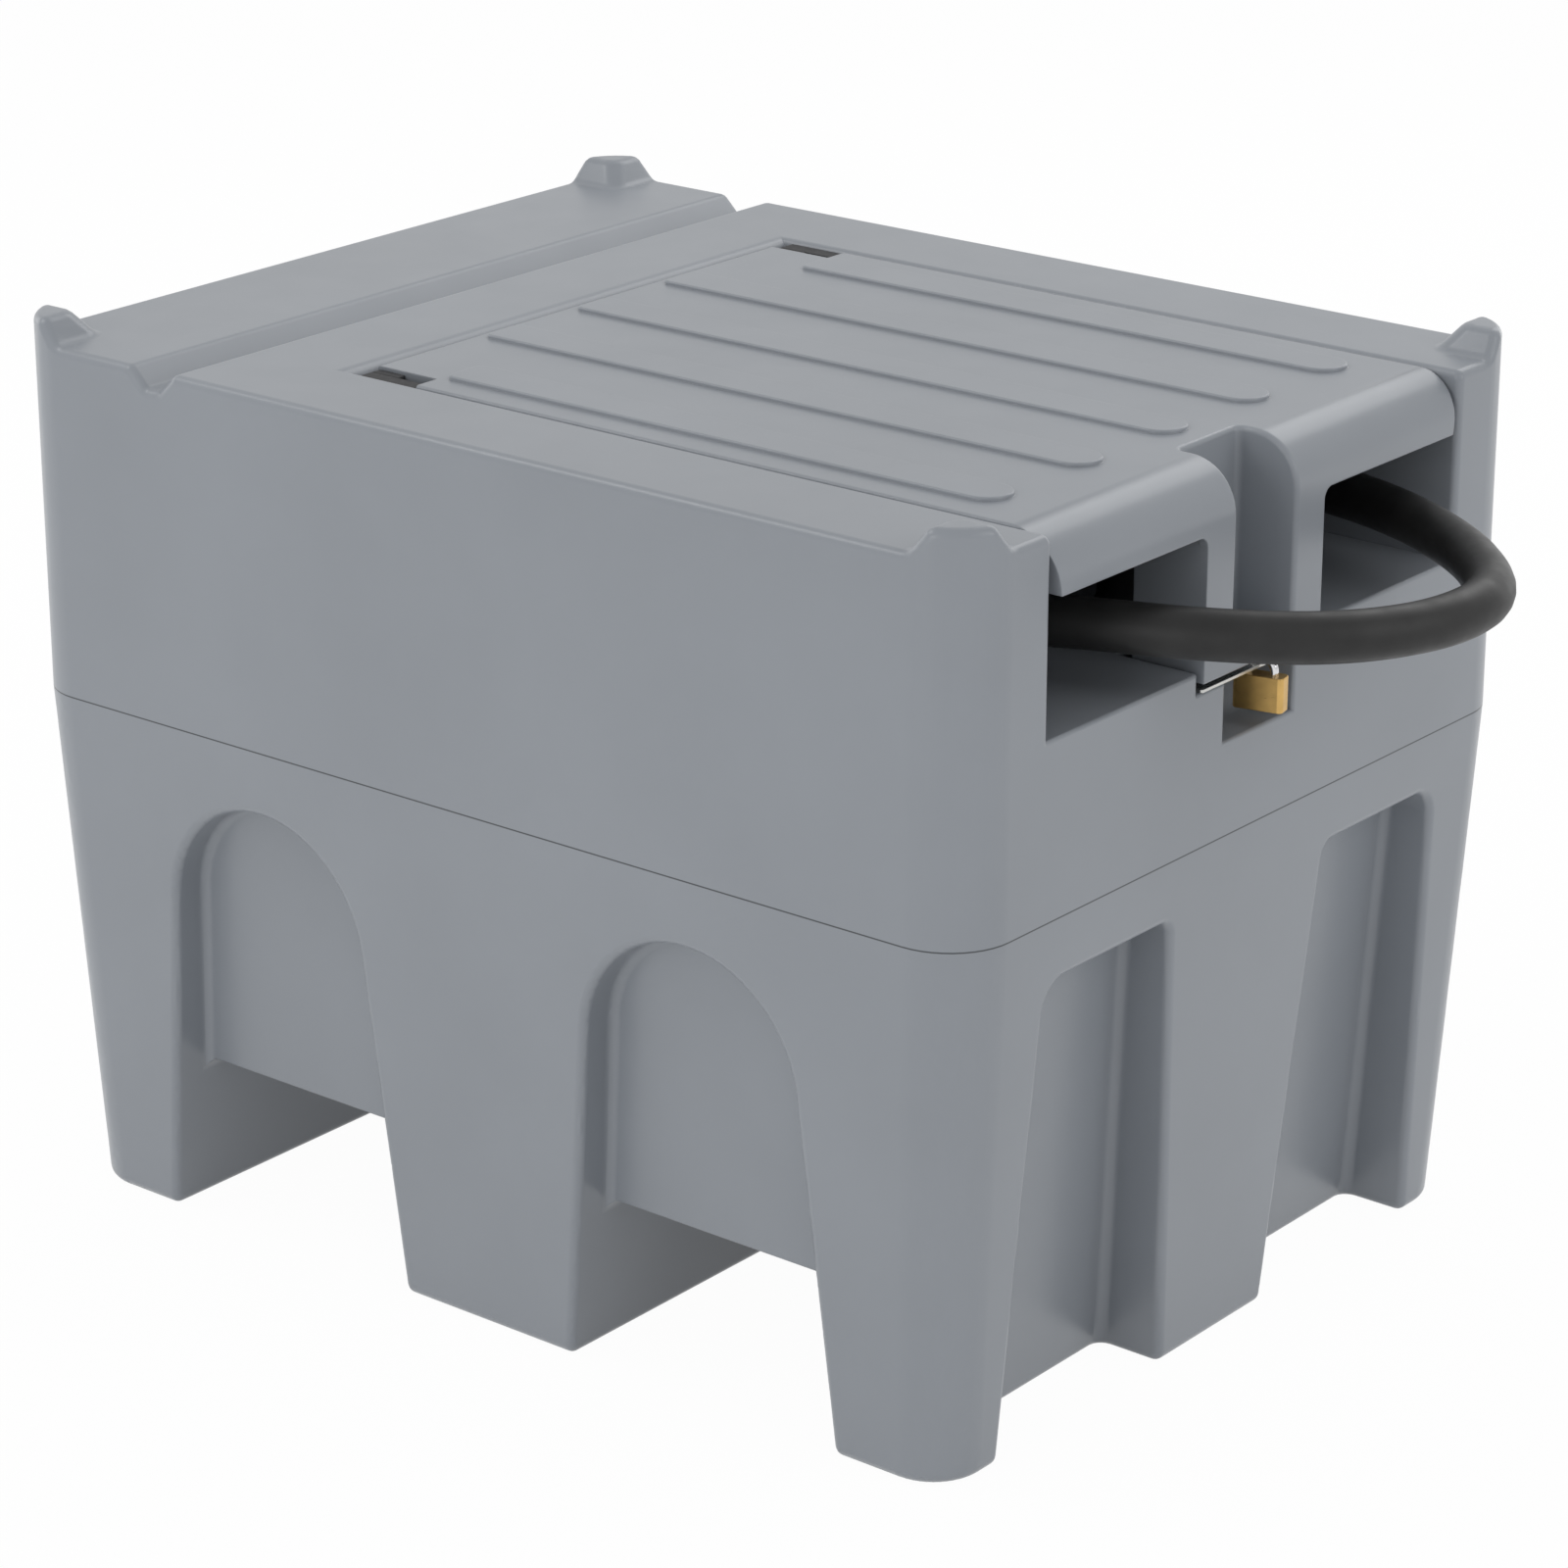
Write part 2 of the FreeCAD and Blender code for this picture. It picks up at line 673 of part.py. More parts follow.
def lid_cross_profile(inset):
    """Lid seen from the front, with its sides leaning in, as (x, z)."""
    high = LID_TOP_Z - inset
    low = FLAP_Z - 20
    top = LID_HALF - inset
    foot = top - (high - low) * LID_SIDE_DRAFT
    points = [(-foot, low), (foot, low), (top, high), (-top, high)]
    edge = max(LID_EDGE_R - inset, 0)
    return points, [0, 0, edge, edge]


def lid_block(inset):
    """Outside of the lid's top and flap, or the space under them."""
    side_points, side_radii = lid_side_profile(inset)
    cross_points, cross_radii = lid_cross_profile(inset)
    side = yz_prism(side_points, side_radii, -WIDTH / 2, WIDTH / 2)
    return side.common(xz_prism(cross_points, cross_radii, -LENGTH, LENGTH))


def lid_rib(index):
    """One raised rib with round ends on the lid."""
    x = (index - (RIB_COUNT - 1) / 2) * RIB_PITCH
    rear = RIB_REAR_Y
    if index in (0, RIB_COUNT - 1):
        rear = RIB_SHORT_REAR_Y
    plan = [(x - RIB_HALF, RIB_FRONT_Y), (x + RIB_HALF, RIB_FRONT_Y),
            (x + RIB_HALF, rear), (x - RIB_HALF, rear)]
    round_end = RIB_HALF - 0.01
    rib = xy_prism(plan, [round_end, round_end, 6, 6], LID_TOP_Z - 1, LID_TOP_Z + RIB_HEIGHT)
    crest = [edge for edge in rib.Edges if edge.BoundBox.ZMin > LID_TOP_Z + RIB_HEIGHT - 0.01]
    return rib.makeFillet(RIB_HEIGHT * 0.6, crest)


def off_lid(point):
    """How far a point lies from the lid's top, bend and front."""
    past = LID_FRONT_Y + LID_BEND_R - point.y
    below = LID_TOP_Z - LID_BEND_R - point.z
    if past <= 0:
        return abs(point.z - LID_TOP_Z)
    if below >= 0:
        return abs(point.y - LID_FRONT_Y)
    return abs(math.hypot(past, below) - LID_BEND_R)


def column_gusset():
    """Rounded corner between the right column and the flap's lower edge."""
    x = COLUMN_HALF + COLUMN_CORNER_R
    z = FLAP_Z - COLUMN_CORNER_R
    y1 = LID_FRONT_Y + LID_WALL
    corner = box(COLUMN_HALF, x, LID_FRONT_Y, y1, z, FLAP_Z)
    return corner.cut(rod(COLUMN_CORNER_R, (x, LID_FRONT_Y - 1, z), (x, y1 + 1, z)))


def lid():
    """One moulding: top, skirts, front flap and the channel that reaches the sill."""
    shell_floor = LID_TOP_Z - LID_SKIRT
    outside = lid_block(0)
    above_skirt = box(-WIDTH, WIDTH, -LENGTH, LENGTH, shell_floor, TOP_Z + 50)
    flap_zone = box(-WIDTH, WIDTH, -LENGTH, LID_FRONT_Y + LID_BEND_R, FLAP_Z, TOP_Z + 50)
    outside = outside.common(above_skirt.fuse(flap_zone))
    column = box(-COLUMN_HALF, COLUMN_HALF, LID_FRONT_Y, COLUMN_REAR_Y, COLUMN_Z, LID_TOP_Z - LID_BEND_R)
    column = column.fuse(box(-COLUMN_HALF, COLUMN_HALF, LID_FRONT_Y + LID_BEND_R - 10, COLUMN_REAR_Y,
                             COLUMN_Z, LID_TOP_Z - LID_WALL))
    outside = outside.fuse(column)
    channel_rear = LID_FRONT_Y + CHANNEL_DEPTH
    channel_floor = COLUMN_Z + LID_FLOOR
    pocket_inner = CHANNEL_HALF + LID_WALL
    pocket_outer = COLUMN_HALF - LID_WALL
    inside = lid_block(LID_WALL)
    keep_clear = box(-COLUMN_HALF, COLUMN_HALF, -LENGTH, COLUMN_REAR_Y, COLUMN_Z, TOP_Z + 50)
    hollow = inside.cut(keep_clear)
    pocket = box(-pocket_outer, -pocket_inner, LID_FRONT_Y + LID_WALL, COLUMN_REAR_Y + 1, channel_floor,
                 LID_TOP_Z - LID_BEND_R)
    pocket = pocket.fuse(box(-pocket_outer, -pocket_inner, LID_FRONT_Y + LID_BEND_R - 4, COLUMN_REAR_Y + 1,
                             channel_floor, LID_TOP_Z - LID_WALL))
    shape = outside.cut(hollow).cut(pocket).cut(mirror_x(pocket))
    channel = xy_prism([(-CHANNEL_HALF, LID_FRONT_Y - 20), (CHANNEL_HALF, LID_FRONT_Y - 20),
                        (CHANNEL_HALF, channel_rear), (-CHANNEL_HALF, channel_rear)],
                       [0, 0, 5, 5], channel_floor, TOP_Z + 50)
    shape = shape.cut(channel)
    gusset = column_gusset()
    shape = fuse_all([shape, gusset, mirror_x(gusset)])

    def on_channel_rim(p):
        bend_rear = LID_FRONT_Y + LID_BEND_R + 1
        on_side = abs(abs(p.x) - CHANNEL_HALF) < 0.02 and p.z > COLUMN_Z + 1 and p.y < bend_rear
        on_top = abs(p.z - LID_TOP_Z) < 0.02 and p.y < channel_rear + 0.02 and abs(p.x) < CHANNEL_HALF + 0.02
        return (on_side or on_top) and off_lid(p) < 0.05

    shape = shape.makeFillet(CHANNEL_EDGE_R, middle_edges(shape, on_channel_rim))
    shape = shape.multiFuse([lid_rib(index) for index in range(RIB_COUNT)])
    slot = box(PADLOCK_X - SHACKLE_SLOT / 2, PADLOCK_X + SHACKLE_SLOT / 2, LID_FRONT_Y - 10,
               PADLOCK_Y + SHACKLE_SPAN + SHACKLE_SLOT, COLUMN_Z - 1, channel_floor + 1)
    shape = shape.cut(slot)
    notch = box(-WIDTH / 2, -WELL_HALF + LID_NOTCH_WIDTH, LID_NOTCH_FRONT_Y, LID_REAR_Y + 5,
                shell_floor - 5, TOP_Z + 5)
    shape = shape.cut(notch).cut(mirror_x(notch))
    return shape.removeSplitter()


# Lid hinges, built for the left side and mirrored

def hinge_base():
    """Black block on the shelf in the well's corner, bored for the pin."""
    x0 = -WELL_HALF + HINGE_SIDE_GAP
    x1 = x0 + HINGE_BASE_WIDTH
    y0 = LID_NOTCH_FRONT_Y + 2
    nose = HINGE_PAD_Z - HINGE_Z
    rear = HINGE_Y + nose
    profile = [(y0, SHELF_Z), (rear, SHELF_Z), (rear, HINGE_PAD_Z), (y0, HINGE_PAD_Z)]
    block = yz_prism(profile, [0, 0, nose, 1], x0, x1)
    foot_x1 = -WELL_HALF + SHELF_WIDTH - 1
    foot = box(x0, foot_x1, y0, y0 + 24, SHELF_Z, SHELF_Z + HINGE_LEAF_T)
    return block.fuse(foot).removeSplitter()


def hinge_bore(shape, radius, x0, x1):
    """Drill a hinge piece along the pin's axis."""
    return shape.cut(rod(radius, (x0, HINGE_Y, HINGE_Z), (x1, HINGE_Y, HINGE_Z)))


def hinge_pin_span():
    """Ends of the left pin along X."""
    x0 = -WELL_HALF + HINGE_SIDE_GAP + 1
    return x0, x0 + HINGE_BASE_WIDTH + HINGE_SIDE_GAP + HINGE_LEAF_WIDTH - 1.5


def hinge_pin():
    """Steel pin, tight in the base and free in the leaf."""
    x0, x1 = hinge_pin_span()
    return rod(HINGE_PIN_R, (x0, HINGE_Y, HINGE_Z), (x1, HINGE_Y, HINGE_Z))


def hinge_leaf():
    """Black leaf screwed under the lid, with a knuckle beside the base."""
    x0 = -WELL_HALF + HINGE_SIDE_GAP + HINGE_BASE_WIDTH + HINGE_SIDE_GAP
    x1 = x0 + HINGE_LEAF_WIDTH
    y0 = LID_NOTCH_FRONT_Y + 27
    nose = HINGE_PAD_Z - HINGE_Z
    under = LID_TOP_Z - LID_WALL
    rear = HINGE_Y + nose
    profile = [(y0, under - HINGE_LEAF_T), (rear, under - HINGE_LEAF_T),
               (rear, HINGE_PAD_Z), (y0, HINGE_PAD_Z)]
    knuckle = yz_prism(profile, [0, nose, nose, 1], x0, x1)
    flange = box(x0, x1 + HINGE_LEAF_REACH, y0, LID_REAR_Y - LID_WALL - 1, under - HINGE_LEAF_T, under)
    return knuckle.fuse(flange).removeSplitter()


def screw(radius, head_radius, head_height, start, end):
    """Pan head screw whose head's underside is at start."""
    a = Vector(*start)
    b = Vector(*end)
    back = (a - b).normalize() * head_height
    head = Part.makeCylinder(head_radius, head_height, a + back, back * -1)
    return head.fuse(rod(radius, start, end)).removeSplitter()


def hinge_base_screw_places():
    """Where the screws hold the left base, on its foot."""
    x = -WELL_HALF + SHELF_WIDTH - 1 - HINGE_SCREW_HEAD_R - 0.5
    y0 = LID_NOTCH_FRONT_Y + 2
    return [(x, y0 + 6), (x, y0 + 18)]


def hinge_leaf_screw_places():
    """Where the screws hold the left leaf, under the lid."""
    x1 = -WELL_HALF + 2 * HINGE_SIDE_GAP + HINGE_BASE_WIDTH + HINGE_LEAF_WIDTH + HINGE_LEAF_REACH
    y0 = LID_NOTCH_FRONT_Y + 27
    return [(x1 - 8, y0 + 9), (x1 - 21, y0 + 9)]


# Lock plate and padlock

def lock_plate():
    """Stainless plate in the sill's notch, with the shackle's hole."""
    plate = xy_prism([(-PLATE_HALF, PLATE_FRONT_Y), (PLATE_HALF, PLATE_FRONT_Y),
                      (PLATE_HALF, PLATE_REAR_Y), (-PLATE_HALF, PLATE_REAR_Y)],
                     [2, 2, 6, 6], NOTCH_Z, NOTCH_Z + PLATE_T)
    hole_y = PADLOCK_Y + SHACKLE_SPAN - 0.5
    return plate.cut(post(PLATE_HOLE_R, PADLOCK_X, hole_y, NOTCH_Z - 1, NOTCH_Z + PLATE_T + 1))


def turned(shape):
    """A padlock piece swung about its hanging axis."""
    return shape.rotated(Vector(PADLOCK_X, PADLOCK_Y, 0), Z_AXIS, PADLOCK_TURN)


def shackle_line(radius):
    """U shaped bar of the shackle, legs down."""
    arc_z = PADLOCK_TOP_Z + SHACKLE_STAND
    foot = PADLOCK_TOP_Z - SHACKLE_LEG
    left = Vector(PADLOCK_X, PADLOCK_Y - SHACKLE_SPAN, foot)
    right = Vector(PADLOCK_X, PADLOCK_Y + SHACKLE_SPAN, foot)
    left_top = Vector(PADLOCK_X, PADLOCK_Y - SHACKLE_SPAN, arc_z)
    right_top = Vector(PADLOCK_X, PADLOCK_Y + SHACKLE_SPAN, arc_z)
    crown = Vector(PADLOCK_X, PADLOCK_Y, arc_z + SHACKLE_SPAN)
    path = Part.Wire([Part.makeLine(left, left_top), Part.Arc(left_top, crown, right_top).toShape(),
                      Part.makeLine(right_top, right)])
    ring = Part.Wire(Part.makeCircle(radius, left, Z_AXIS))
    return path.makePipeShell([ring], True, False)


def padlock_shackle():
    """Hardened bar through the lock plate's hole and over its front edge."""
    return turned(shackle_line(SHACKLE_R))


def padlock_body():
    """Brass block with rounded edges, bored for the shackle and the cylinder."""
    half_t = PADLOCK_THICK / 2
    half_w = PADLOCK_WIDTH / 2
    plan = [(PADLOCK_X - half_t, PADLOCK_Y - half_w), (PADLOCK_X + half_t, PADLOCK_Y - half_w),
            (PADLOCK_X + half_t, PADLOCK_Y + half_w), (PADLOCK_X - half_t, PADLOCK_Y + half_w)]
    block = xy_prism(plan, [3.5] * 4, PADLOCK_BASE_Z, PADLOCK_TOP_Z)
    rims = [edge for edge in block.Edges if edge.BoundBox.ZLength < 0.01]
    block = block.makeFillet(0.8, rims)
    leg_z = PADLOCK_TOP_Z - SHACKLE_LEG - SHACKLE_TRAVEL - 1
    for sign in (-1, 1):
        y = PADLOCK_Y + sign * SHACKLE_SPAN
        block = block.cut(post(SHACKLE_R + TOUCH, PADLOCK_X, y, leg_z, PADLOCK_TOP_Z + 1))
    block = block.cut(post(CYLINDER_R + TOUCH, PADLOCK_X, PADLOCK_Y, PADLOCK_BASE_Z - 1, PADLOCK_TOP_Z - 6))
    return turned(block)


def padlock_cylinder():
    """Key cylinder with its keyway, in the padlock's underside."""
    plug = post(CYLINDER_R, PADLOCK_X, PADLOCK_Y, PADLOCK_BASE_Z + 0.3, PADLOCK_TOP_Z - 6.2)
    keyway = box(PADLOCK_X - 0.7, PADLOCK_X + 0.7, PADLOCK_Y - 3, PADLOCK_Y + 3,
                 PADLOCK_BASE_Z, PADLOCK_BASE_Z + 12)
    return turned(plug.cut(keyway))


def lid_buffers():
    """Two rubber pads between the lid's columns and the lock plate."""
    pads = []
    for sign in (-1, 1):
        x = sign * (CHANNEL_HALF + COLUMN_HALF) / 2
        pads.append(rod(BUFFER_R, (x, BUFFER_Y, NOTCH_Z + PLATE_T + 0.3), (x, BUFFER_Y, COLUMN_Z)))
    return Part.makeCompound(pads)


# Pump

def ring_bolts(x, reach, pcd, count, radius, head_radius, head):
    """Bolts on a circle round the pump's axis, heads to the left."""
    bolts = []
    for index in range(count):
        angle = 2 * math.pi * (index + 0.5) / count
        y = PUMP_Y + pcd / 2 * math.cos(angle)
        z = PUMP_Z + pcd / 2 * math.sin(angle)
        bolts.append(screw(radius, head_radius, head, (x, y, z), (x + reach, y, z)))
    return bolts


def along_pump(radius, x0, x1):
    """Cylinder on the pump's axis."""
    return rod(radius, (x0, PUMP_Y, PUMP_Z), (x1, PUMP_Y, PUMP_Z))


def pump_base():
    """Steel plate under the pump and motor."""
    top = WELL_FLOOR_Z + BASE_T
    plan = [(BASE_X0, PUMP_Y - BASE_HALF), (BASE_X1, PUMP_Y - BASE_HALF),
            (BASE_X1, PUMP_Y + BASE_HALF), (BASE_X0, PUMP_Y + BASE_HALF)]
    plate = xy_prism(plan, [8] * 4, WELL_FLOOR_Z, top)
    for x, y in base_bolt_places():
        plate = plate.cut(rod(BASE_BOLT_R + TOUCH, (x, y, WELL_FLOOR_Z - 1), (x, y, top + 1)))
    return plate


def base_bolt_places():
    """Corners where the base is bolted to the tank."""
    return [(x, PUMP_Y + sign * (BASE_HALF - 10)) for x in (BASE_X0 + 10, BASE_X1 - 10) for sign in (-1, 1)]


def base_bolts():
    """Four bolts through the base into the well floor's inserts."""
    top = WELL_FLOOR_Z + BASE_T
    bolts = [screw(BASE_BOLT_R, BASE_BOLT_HEAD_R, 5, (x, y, top), (x, y, WELL_FLOOR_Z - SCREW_GRIP))
             for x, y in base_bolt_places()]
    return Part.makeCompound(bolts)


def pump_foot(x0, x1, radius):
    """Cast foot between the round housing and the base."""
    foot = box(x0, x1, PUMP_Y - FOOT_HALF, PUMP_Y + FOOT_HALF, WELL_FLOOR_Z + BASE_T, PUMP_Z)
    return foot.cut(along_pump(radius - 1, x0 - 1, x1 + 1))


def pump_body():
    """Cast head with the impeller chamber, the seal's seat and both ports."""
    head = along_pump(HEAD_R, HEAD_X0, MOTOR_X0)
    foot = pump_foot(HEAD_X0, MOTOR_X0, HEAD_R)
    x = (HEAD_X0 + MOTOR_X0) / 2
    ports = rod(PORT_R, (x, PUMP_Y - PORT_REACH, PUMP_Z), (x, PUMP_Y + PORT_REACH - 12, PUMP_Z))
    body = fuse_all([head, foot, ports])
    body = body.cut(along_pump(CHAMBER_R, HEAD_X0 - 1, HEAD_X0 + CHAMBER_DEPTH))
    body = body.cut(along_pump(SHAFT_R + 1, HEAD_X0, MOTOR_X0 + 1))
    for sign, reach in ((-1, PORT_REACH), (1, PORT_REACH - 12)):
        outer = PUMP_Y + sign * (reach + 1)
        inner = PUMP_Y + sign * (CHAMBER_R - 8)
        body = body.cut(rod(PORT_BORE_R, (x, outer, PUMP_Z), (x, inner, PUMP_Z)))
    for index in range(COVER_BOLTS):
        angle = 2 * math.pi * (index + 0.5) / COVER_BOLTS
        y = PUMP_Y + COVER_BOLT_PCD / 2 * math.cos(angle)
        z = PUMP_Z + COVER_BOLT_PCD / 2 * math.sin(angle)
        body = body.cut(rod(COVER_BOLT_R + TOUCH, (HEAD_X0 - 1, y, z), (HEAD_X0 + 21, y, z)))
    return body


def pump_cover():
    """Front cover of the pump with a stepped boss and bolt holes."""
    cover = along_pump(COVER_R, HEAD_X0 - COVER_T * 0.5, HEAD_X0)
    boss = along_pump(COVER_R * 0.62, HEAD_X0 - COVER_T, HEAD_X0)
    cover = fuse_all([cover, boss])
    for index in range(COVER_BOLTS):
        angle = 2 * math.pi * (index + 0.5) / COVER_BOLTS
        y = PUMP_Y + COVER_BOLT_PCD / 2 * math.cos(angle)
        z = PUMP_Z + COVER_BOLT_PCD / 2 * math.sin(angle)
        cover = cover.cut(rod(COVER_BOLT_R + TOUCH, (HEAD_X0 - COVER_T, y, z), (HEAD_X0 + 1, y, z)))
    return cover


def cover_bolts():
    """Bolts that hold the cover to the head."""
    return Part.makeCompound(ring_bolts(HEAD_X0 - COVER_T * 0.5, COVER_T * 0.5 + 20, COVER_BOLT_PCD,
                                        COVER_BOLTS, COVER_BOLT_R, 4.5, 4))


def motor_shaft():
    """Steel shaft from the impeller to the rear bearing."""
    return along_pump(SHAFT_R, HEAD_X0 + 2, MOTOR_X1 + END_CAP_T * 0.6)


def impeller():
    """Open wheel with straight blades, fast on the shaft."""
    x0 = HEAD_X0 + 4
    wheel = along_pump(IMPELLER_R * 0.72, x0, x0 + IMPELLER_T)
    blade = box(x0, x0 + IMPELLER_T, PUMP_Y - 1.2, PUMP_Y + 1.2, PUMP_Z + SHAFT_R, PUMP_Z + IMPELLER_R - 0.4)
    blades = []
    for index in range(IMPELLER_BLADES):
        turned_blade = blade.copy()
        turned_blade.rotate(Vector(x0, PUMP_Y, PUMP_Z), X_AXIS, 360.0 * index / IMPELLER_BLADES)
        blades.append(turned_blade)
    wheel = fuse_all([wheel] + blades)
    return wheel.cut(along_pump(SHAFT_R, x0 - 1, x0 + IMPELLER_T + 1))


def armature():
    """Slotted core and commutator on the shaft."""
    core = along_pump(ARMATURE_R, ARMATURE_X0, ARMATURE_X1)
    slot = box(ARMATURE_X0 - 1, ARMATURE_X1 + 1, PUMP_Y - 2, PUMP_Y + 2,
               PUMP_Z + ARMATURE_R * 0.6, PUMP_Z + ARMATURE_R + 1)
    for index in range(ARMATURE_SLOTS):
        one = slot.copy()
        one.rotate(Vector(0, PUMP_Y, PUMP_Z), X_AXIS, 360.0 * index / ARMATURE_SLOTS)
        core = core.cut(one)
    commutator = along_pump(COMMUTATOR_R, ARMATURE_X1, ARMATURE_X1 + 22)
    return fuse_all([core, commutator]).cut(along_pump(SHAFT_R, ARMATURE_X0 - 1, ARMATURE_X1 + 23))


def bearing(x0):
    """Ball bearing shown as its outer form, bored for the shaft."""
    ring = along_pump(BEARING_R, x0, x0 + BEARING_T)
    return ring.cut(along_pump(SHAFT_R + TOUCH, x0 - 1, x0 + BEARING_T + 1))


def motor_housing():
    """Drawn steel can of the motor with its foot."""
    can = along_pump(MOTOR_R, MOTOR_X0, MOTOR_X1)
    foot = pump_foot(MOTOR_X0 + 40, MOTOR_X1 - 20, MOTOR_R)
    can = fuse_all([can, foot])
    seat_end = MOTOR_X0 + BEARING_T + 3
    can = can.cut(along_pump(MOTOR_BORE_R, seat_end, MOTOR_X1 + 1))
    can = can.cut(along_pump(BEARING_R, MOTOR_X0 + 3, seat_end + 1))
    return can.cut(along_pump(SHAFT_R + 1, MOTOR_X0 - 1, seat_end))


def motor_magnets():
    """Two curved magnets on the can's inside."""
    ring = along_pump(MOTOR_BORE_R, ARMATURE_X0, ARMATURE_X1)
    ring = ring.cut(along_pump(MAGNET_R, ARMATURE_X0, ARMATURE_X1))
    gap = box(ARMATURE_X0 - 1, ARMATURE_X1 + 1, PUMP_Y - 60, PUMP_Y + 60, PUMP_Z - 12, PUMP_Z + 12)
    return ring.cut(gap)


def motor_end_cap():
    """Rear cap with the bearing's seat."""
    cap = along_pump(MOTOR_R, MOTOR_X1, MOTOR_X1 + END_CAP_T)
    spigot = along_pump(MOTOR_BORE_R - TOUCH, MOTOR_X1 - 4, MOTOR_X1)
    cap = fuse_all([cap, spigot])
    rim = [edge for edge in cap.Edges if edge.BoundBox.XMin > MOTOR_X1 + END_CAP_T - 0.01]
    cap = cap.makeFillet(4, rim)
    return cap.cut(along_pump(BEARING_R, MOTOR_X1 - 5, MOTOR_X1 + END_CAP_T - 3))


def carbon_brushes():
    """Two brushes on the commutator, carried by a ring inside the can."""
    x0 = ARMATURE_X1 + 5
    brushes = []
    for sign in (-1, 1):
        y0 = PUMP_Y + sign * (COMMUTATOR_R + 0.3)
        y1 = PUMP_Y + sign * (MOTOR_BORE_R - 0.5)
        brush = box(x0, x0 + 10, min(y0, y1), max(y0, y1), PUMP_Z - 5, PUMP_Z + 5)
        brushes.append(brush.common(along_pump(MOTOR_BORE_R, x0, x0 + 10)))
    return Part.makeCompound(brushes)


def shaft_seal():
    """Rubber seal round the shaft behind the impeller."""
    x0 = HEAD_X0 + CHAMBER_DEPTH
    return along_pump(SHAFT_R + 1, x0, x0 + 8).cut(along_pump(SHAFT_R + TOUCH, x0 - 1, x0 + 9))


def switch_box():
    """Box on the motor with the rocker's opening and the gland's seat."""
    low = PUMP_Z + MOTOR_R * 0.6
    plan = [(SWITCH_BOX_X0, PUMP_Y - SWITCH_BOX_HALF), (SWITCH_BOX_X1, PUMP_Y - SWITCH_BOX_HALF),
            (SWITCH_BOX_X1, PUMP_Y + SWITCH_BOX_HALF), (SWITCH_BOX_X0, PUMP_Y + SWITCH_BOX_HALF)]
    case = xy_prism(plan, [5] * 4, low, SWITCH_BOX_TOP_Z)
    case = case.cut(along_pump(MOTOR_R, SWITCH_BOX_X0 - 1, SWITCH_BOX_X1 + 1))
    opening = box(ROCKER_X - ROCKER_HALF_X - ROCKER_RUNNING, ROCKER_X + ROCKER_HALF_X + ROCKER_RUNNING,
                  PUMP_Y - ROCKER_HALF_Y - ROCKER_RUNNING, PUMP_Y + ROCKER_HALF_Y + ROCKER_RUNNING,
                  SWITCH_BOX_TOP_Z - 14, SWITCH_BOX_TOP_Z + 1)
    z = SWITCH_BOX_TOP_Z - 4
    pivot = rod(1.5 + TOUCH, (ROCKER_X - ROCKER_HALF_X - 3, PUMP_Y, z),
                (ROCKER_X + ROCKER_HALF_X + 3, PUMP_Y, z))
    return case.cut(opening).cut(pivot)


def rocker():
    """Rocker of the pump switch, pivoted across the box."""
    z = SWITCH_BOX_TOP_Z - 4
    body = rod(8.0, (ROCKER_X - ROCKER_HALF_X, PUMP_Y, z), (ROCKER_X + ROCKER_HALF_X, PUMP_Y, z))
    profile = [(PUMP_Y - ROCKER_HALF_Y + 1, z + 2), (PUMP_Y, z - 2), (PUMP_Y + ROCKER_HALF_Y - 1, z + 2),
               (PUMP_Y + ROCKER_HALF_Y - 2, z + 8), (PUMP_Y, z + 5), (PUMP_Y - ROCKER_HALF_Y + 2, z + 8)]
    wings = yz_prism(profile, [0, 0, 0, 1, 12, 1], ROCKER_X - ROCKER_HALF_X, ROCKER_X + ROCKER_HALF_X)
    pivot = rod(1.5, (ROCKER_X - ROCKER_HALF_X - 2.7, PUMP_Y, z), (ROCKER_X + ROCKER_HALF_X + 2.7, PUMP_Y, z))
    return fuse_all([body, wings, pivot])


def cable_gland():
    """Gland for the supply cable, on the right of the switch box."""
    z = SWITCH_BOX_TOP_Z - 14
    x0 = SWITCH_BOX_X1
    body = rod(GLAND_R, (x0, PUMP_Y, z), (x0 + GLAND_REACH * 0.6, PUMP_Y, z))
    cap = rod(GLAND_R - 1.5, (x0 + GLAND_REACH * 0.6, PUMP_Y, z), (x0 + GLAND_REACH, PUMP_Y, z))
    flats = Part.Face(Part.makePolygon([Vector(x0 + 2, PUMP_Y + 11.5 * math.cos(math.radians(60 * k)),
                                               z + 11.5 * math.sin(math.radians(60 * k)))
                                        for k in range(7)])).extrude(Vector(6, 0, 0))
    shape = fuse_all([body, cap, flats])
    return shape.cut(rod(GLAND_BORE_R, (x0 - 1, PUMP_Y, z), (x0 + GLAND_REACH + 1, PUMP_Y, z)))


# Suction line

def bent_bar(radius, points, corner):
    """Round bar along a polyline whose corners have one radius."""
    vectors = [Vector(*point) for point in points]
    return sweep_round(radius, vectors, [corner] * (len(vectors) - 2))


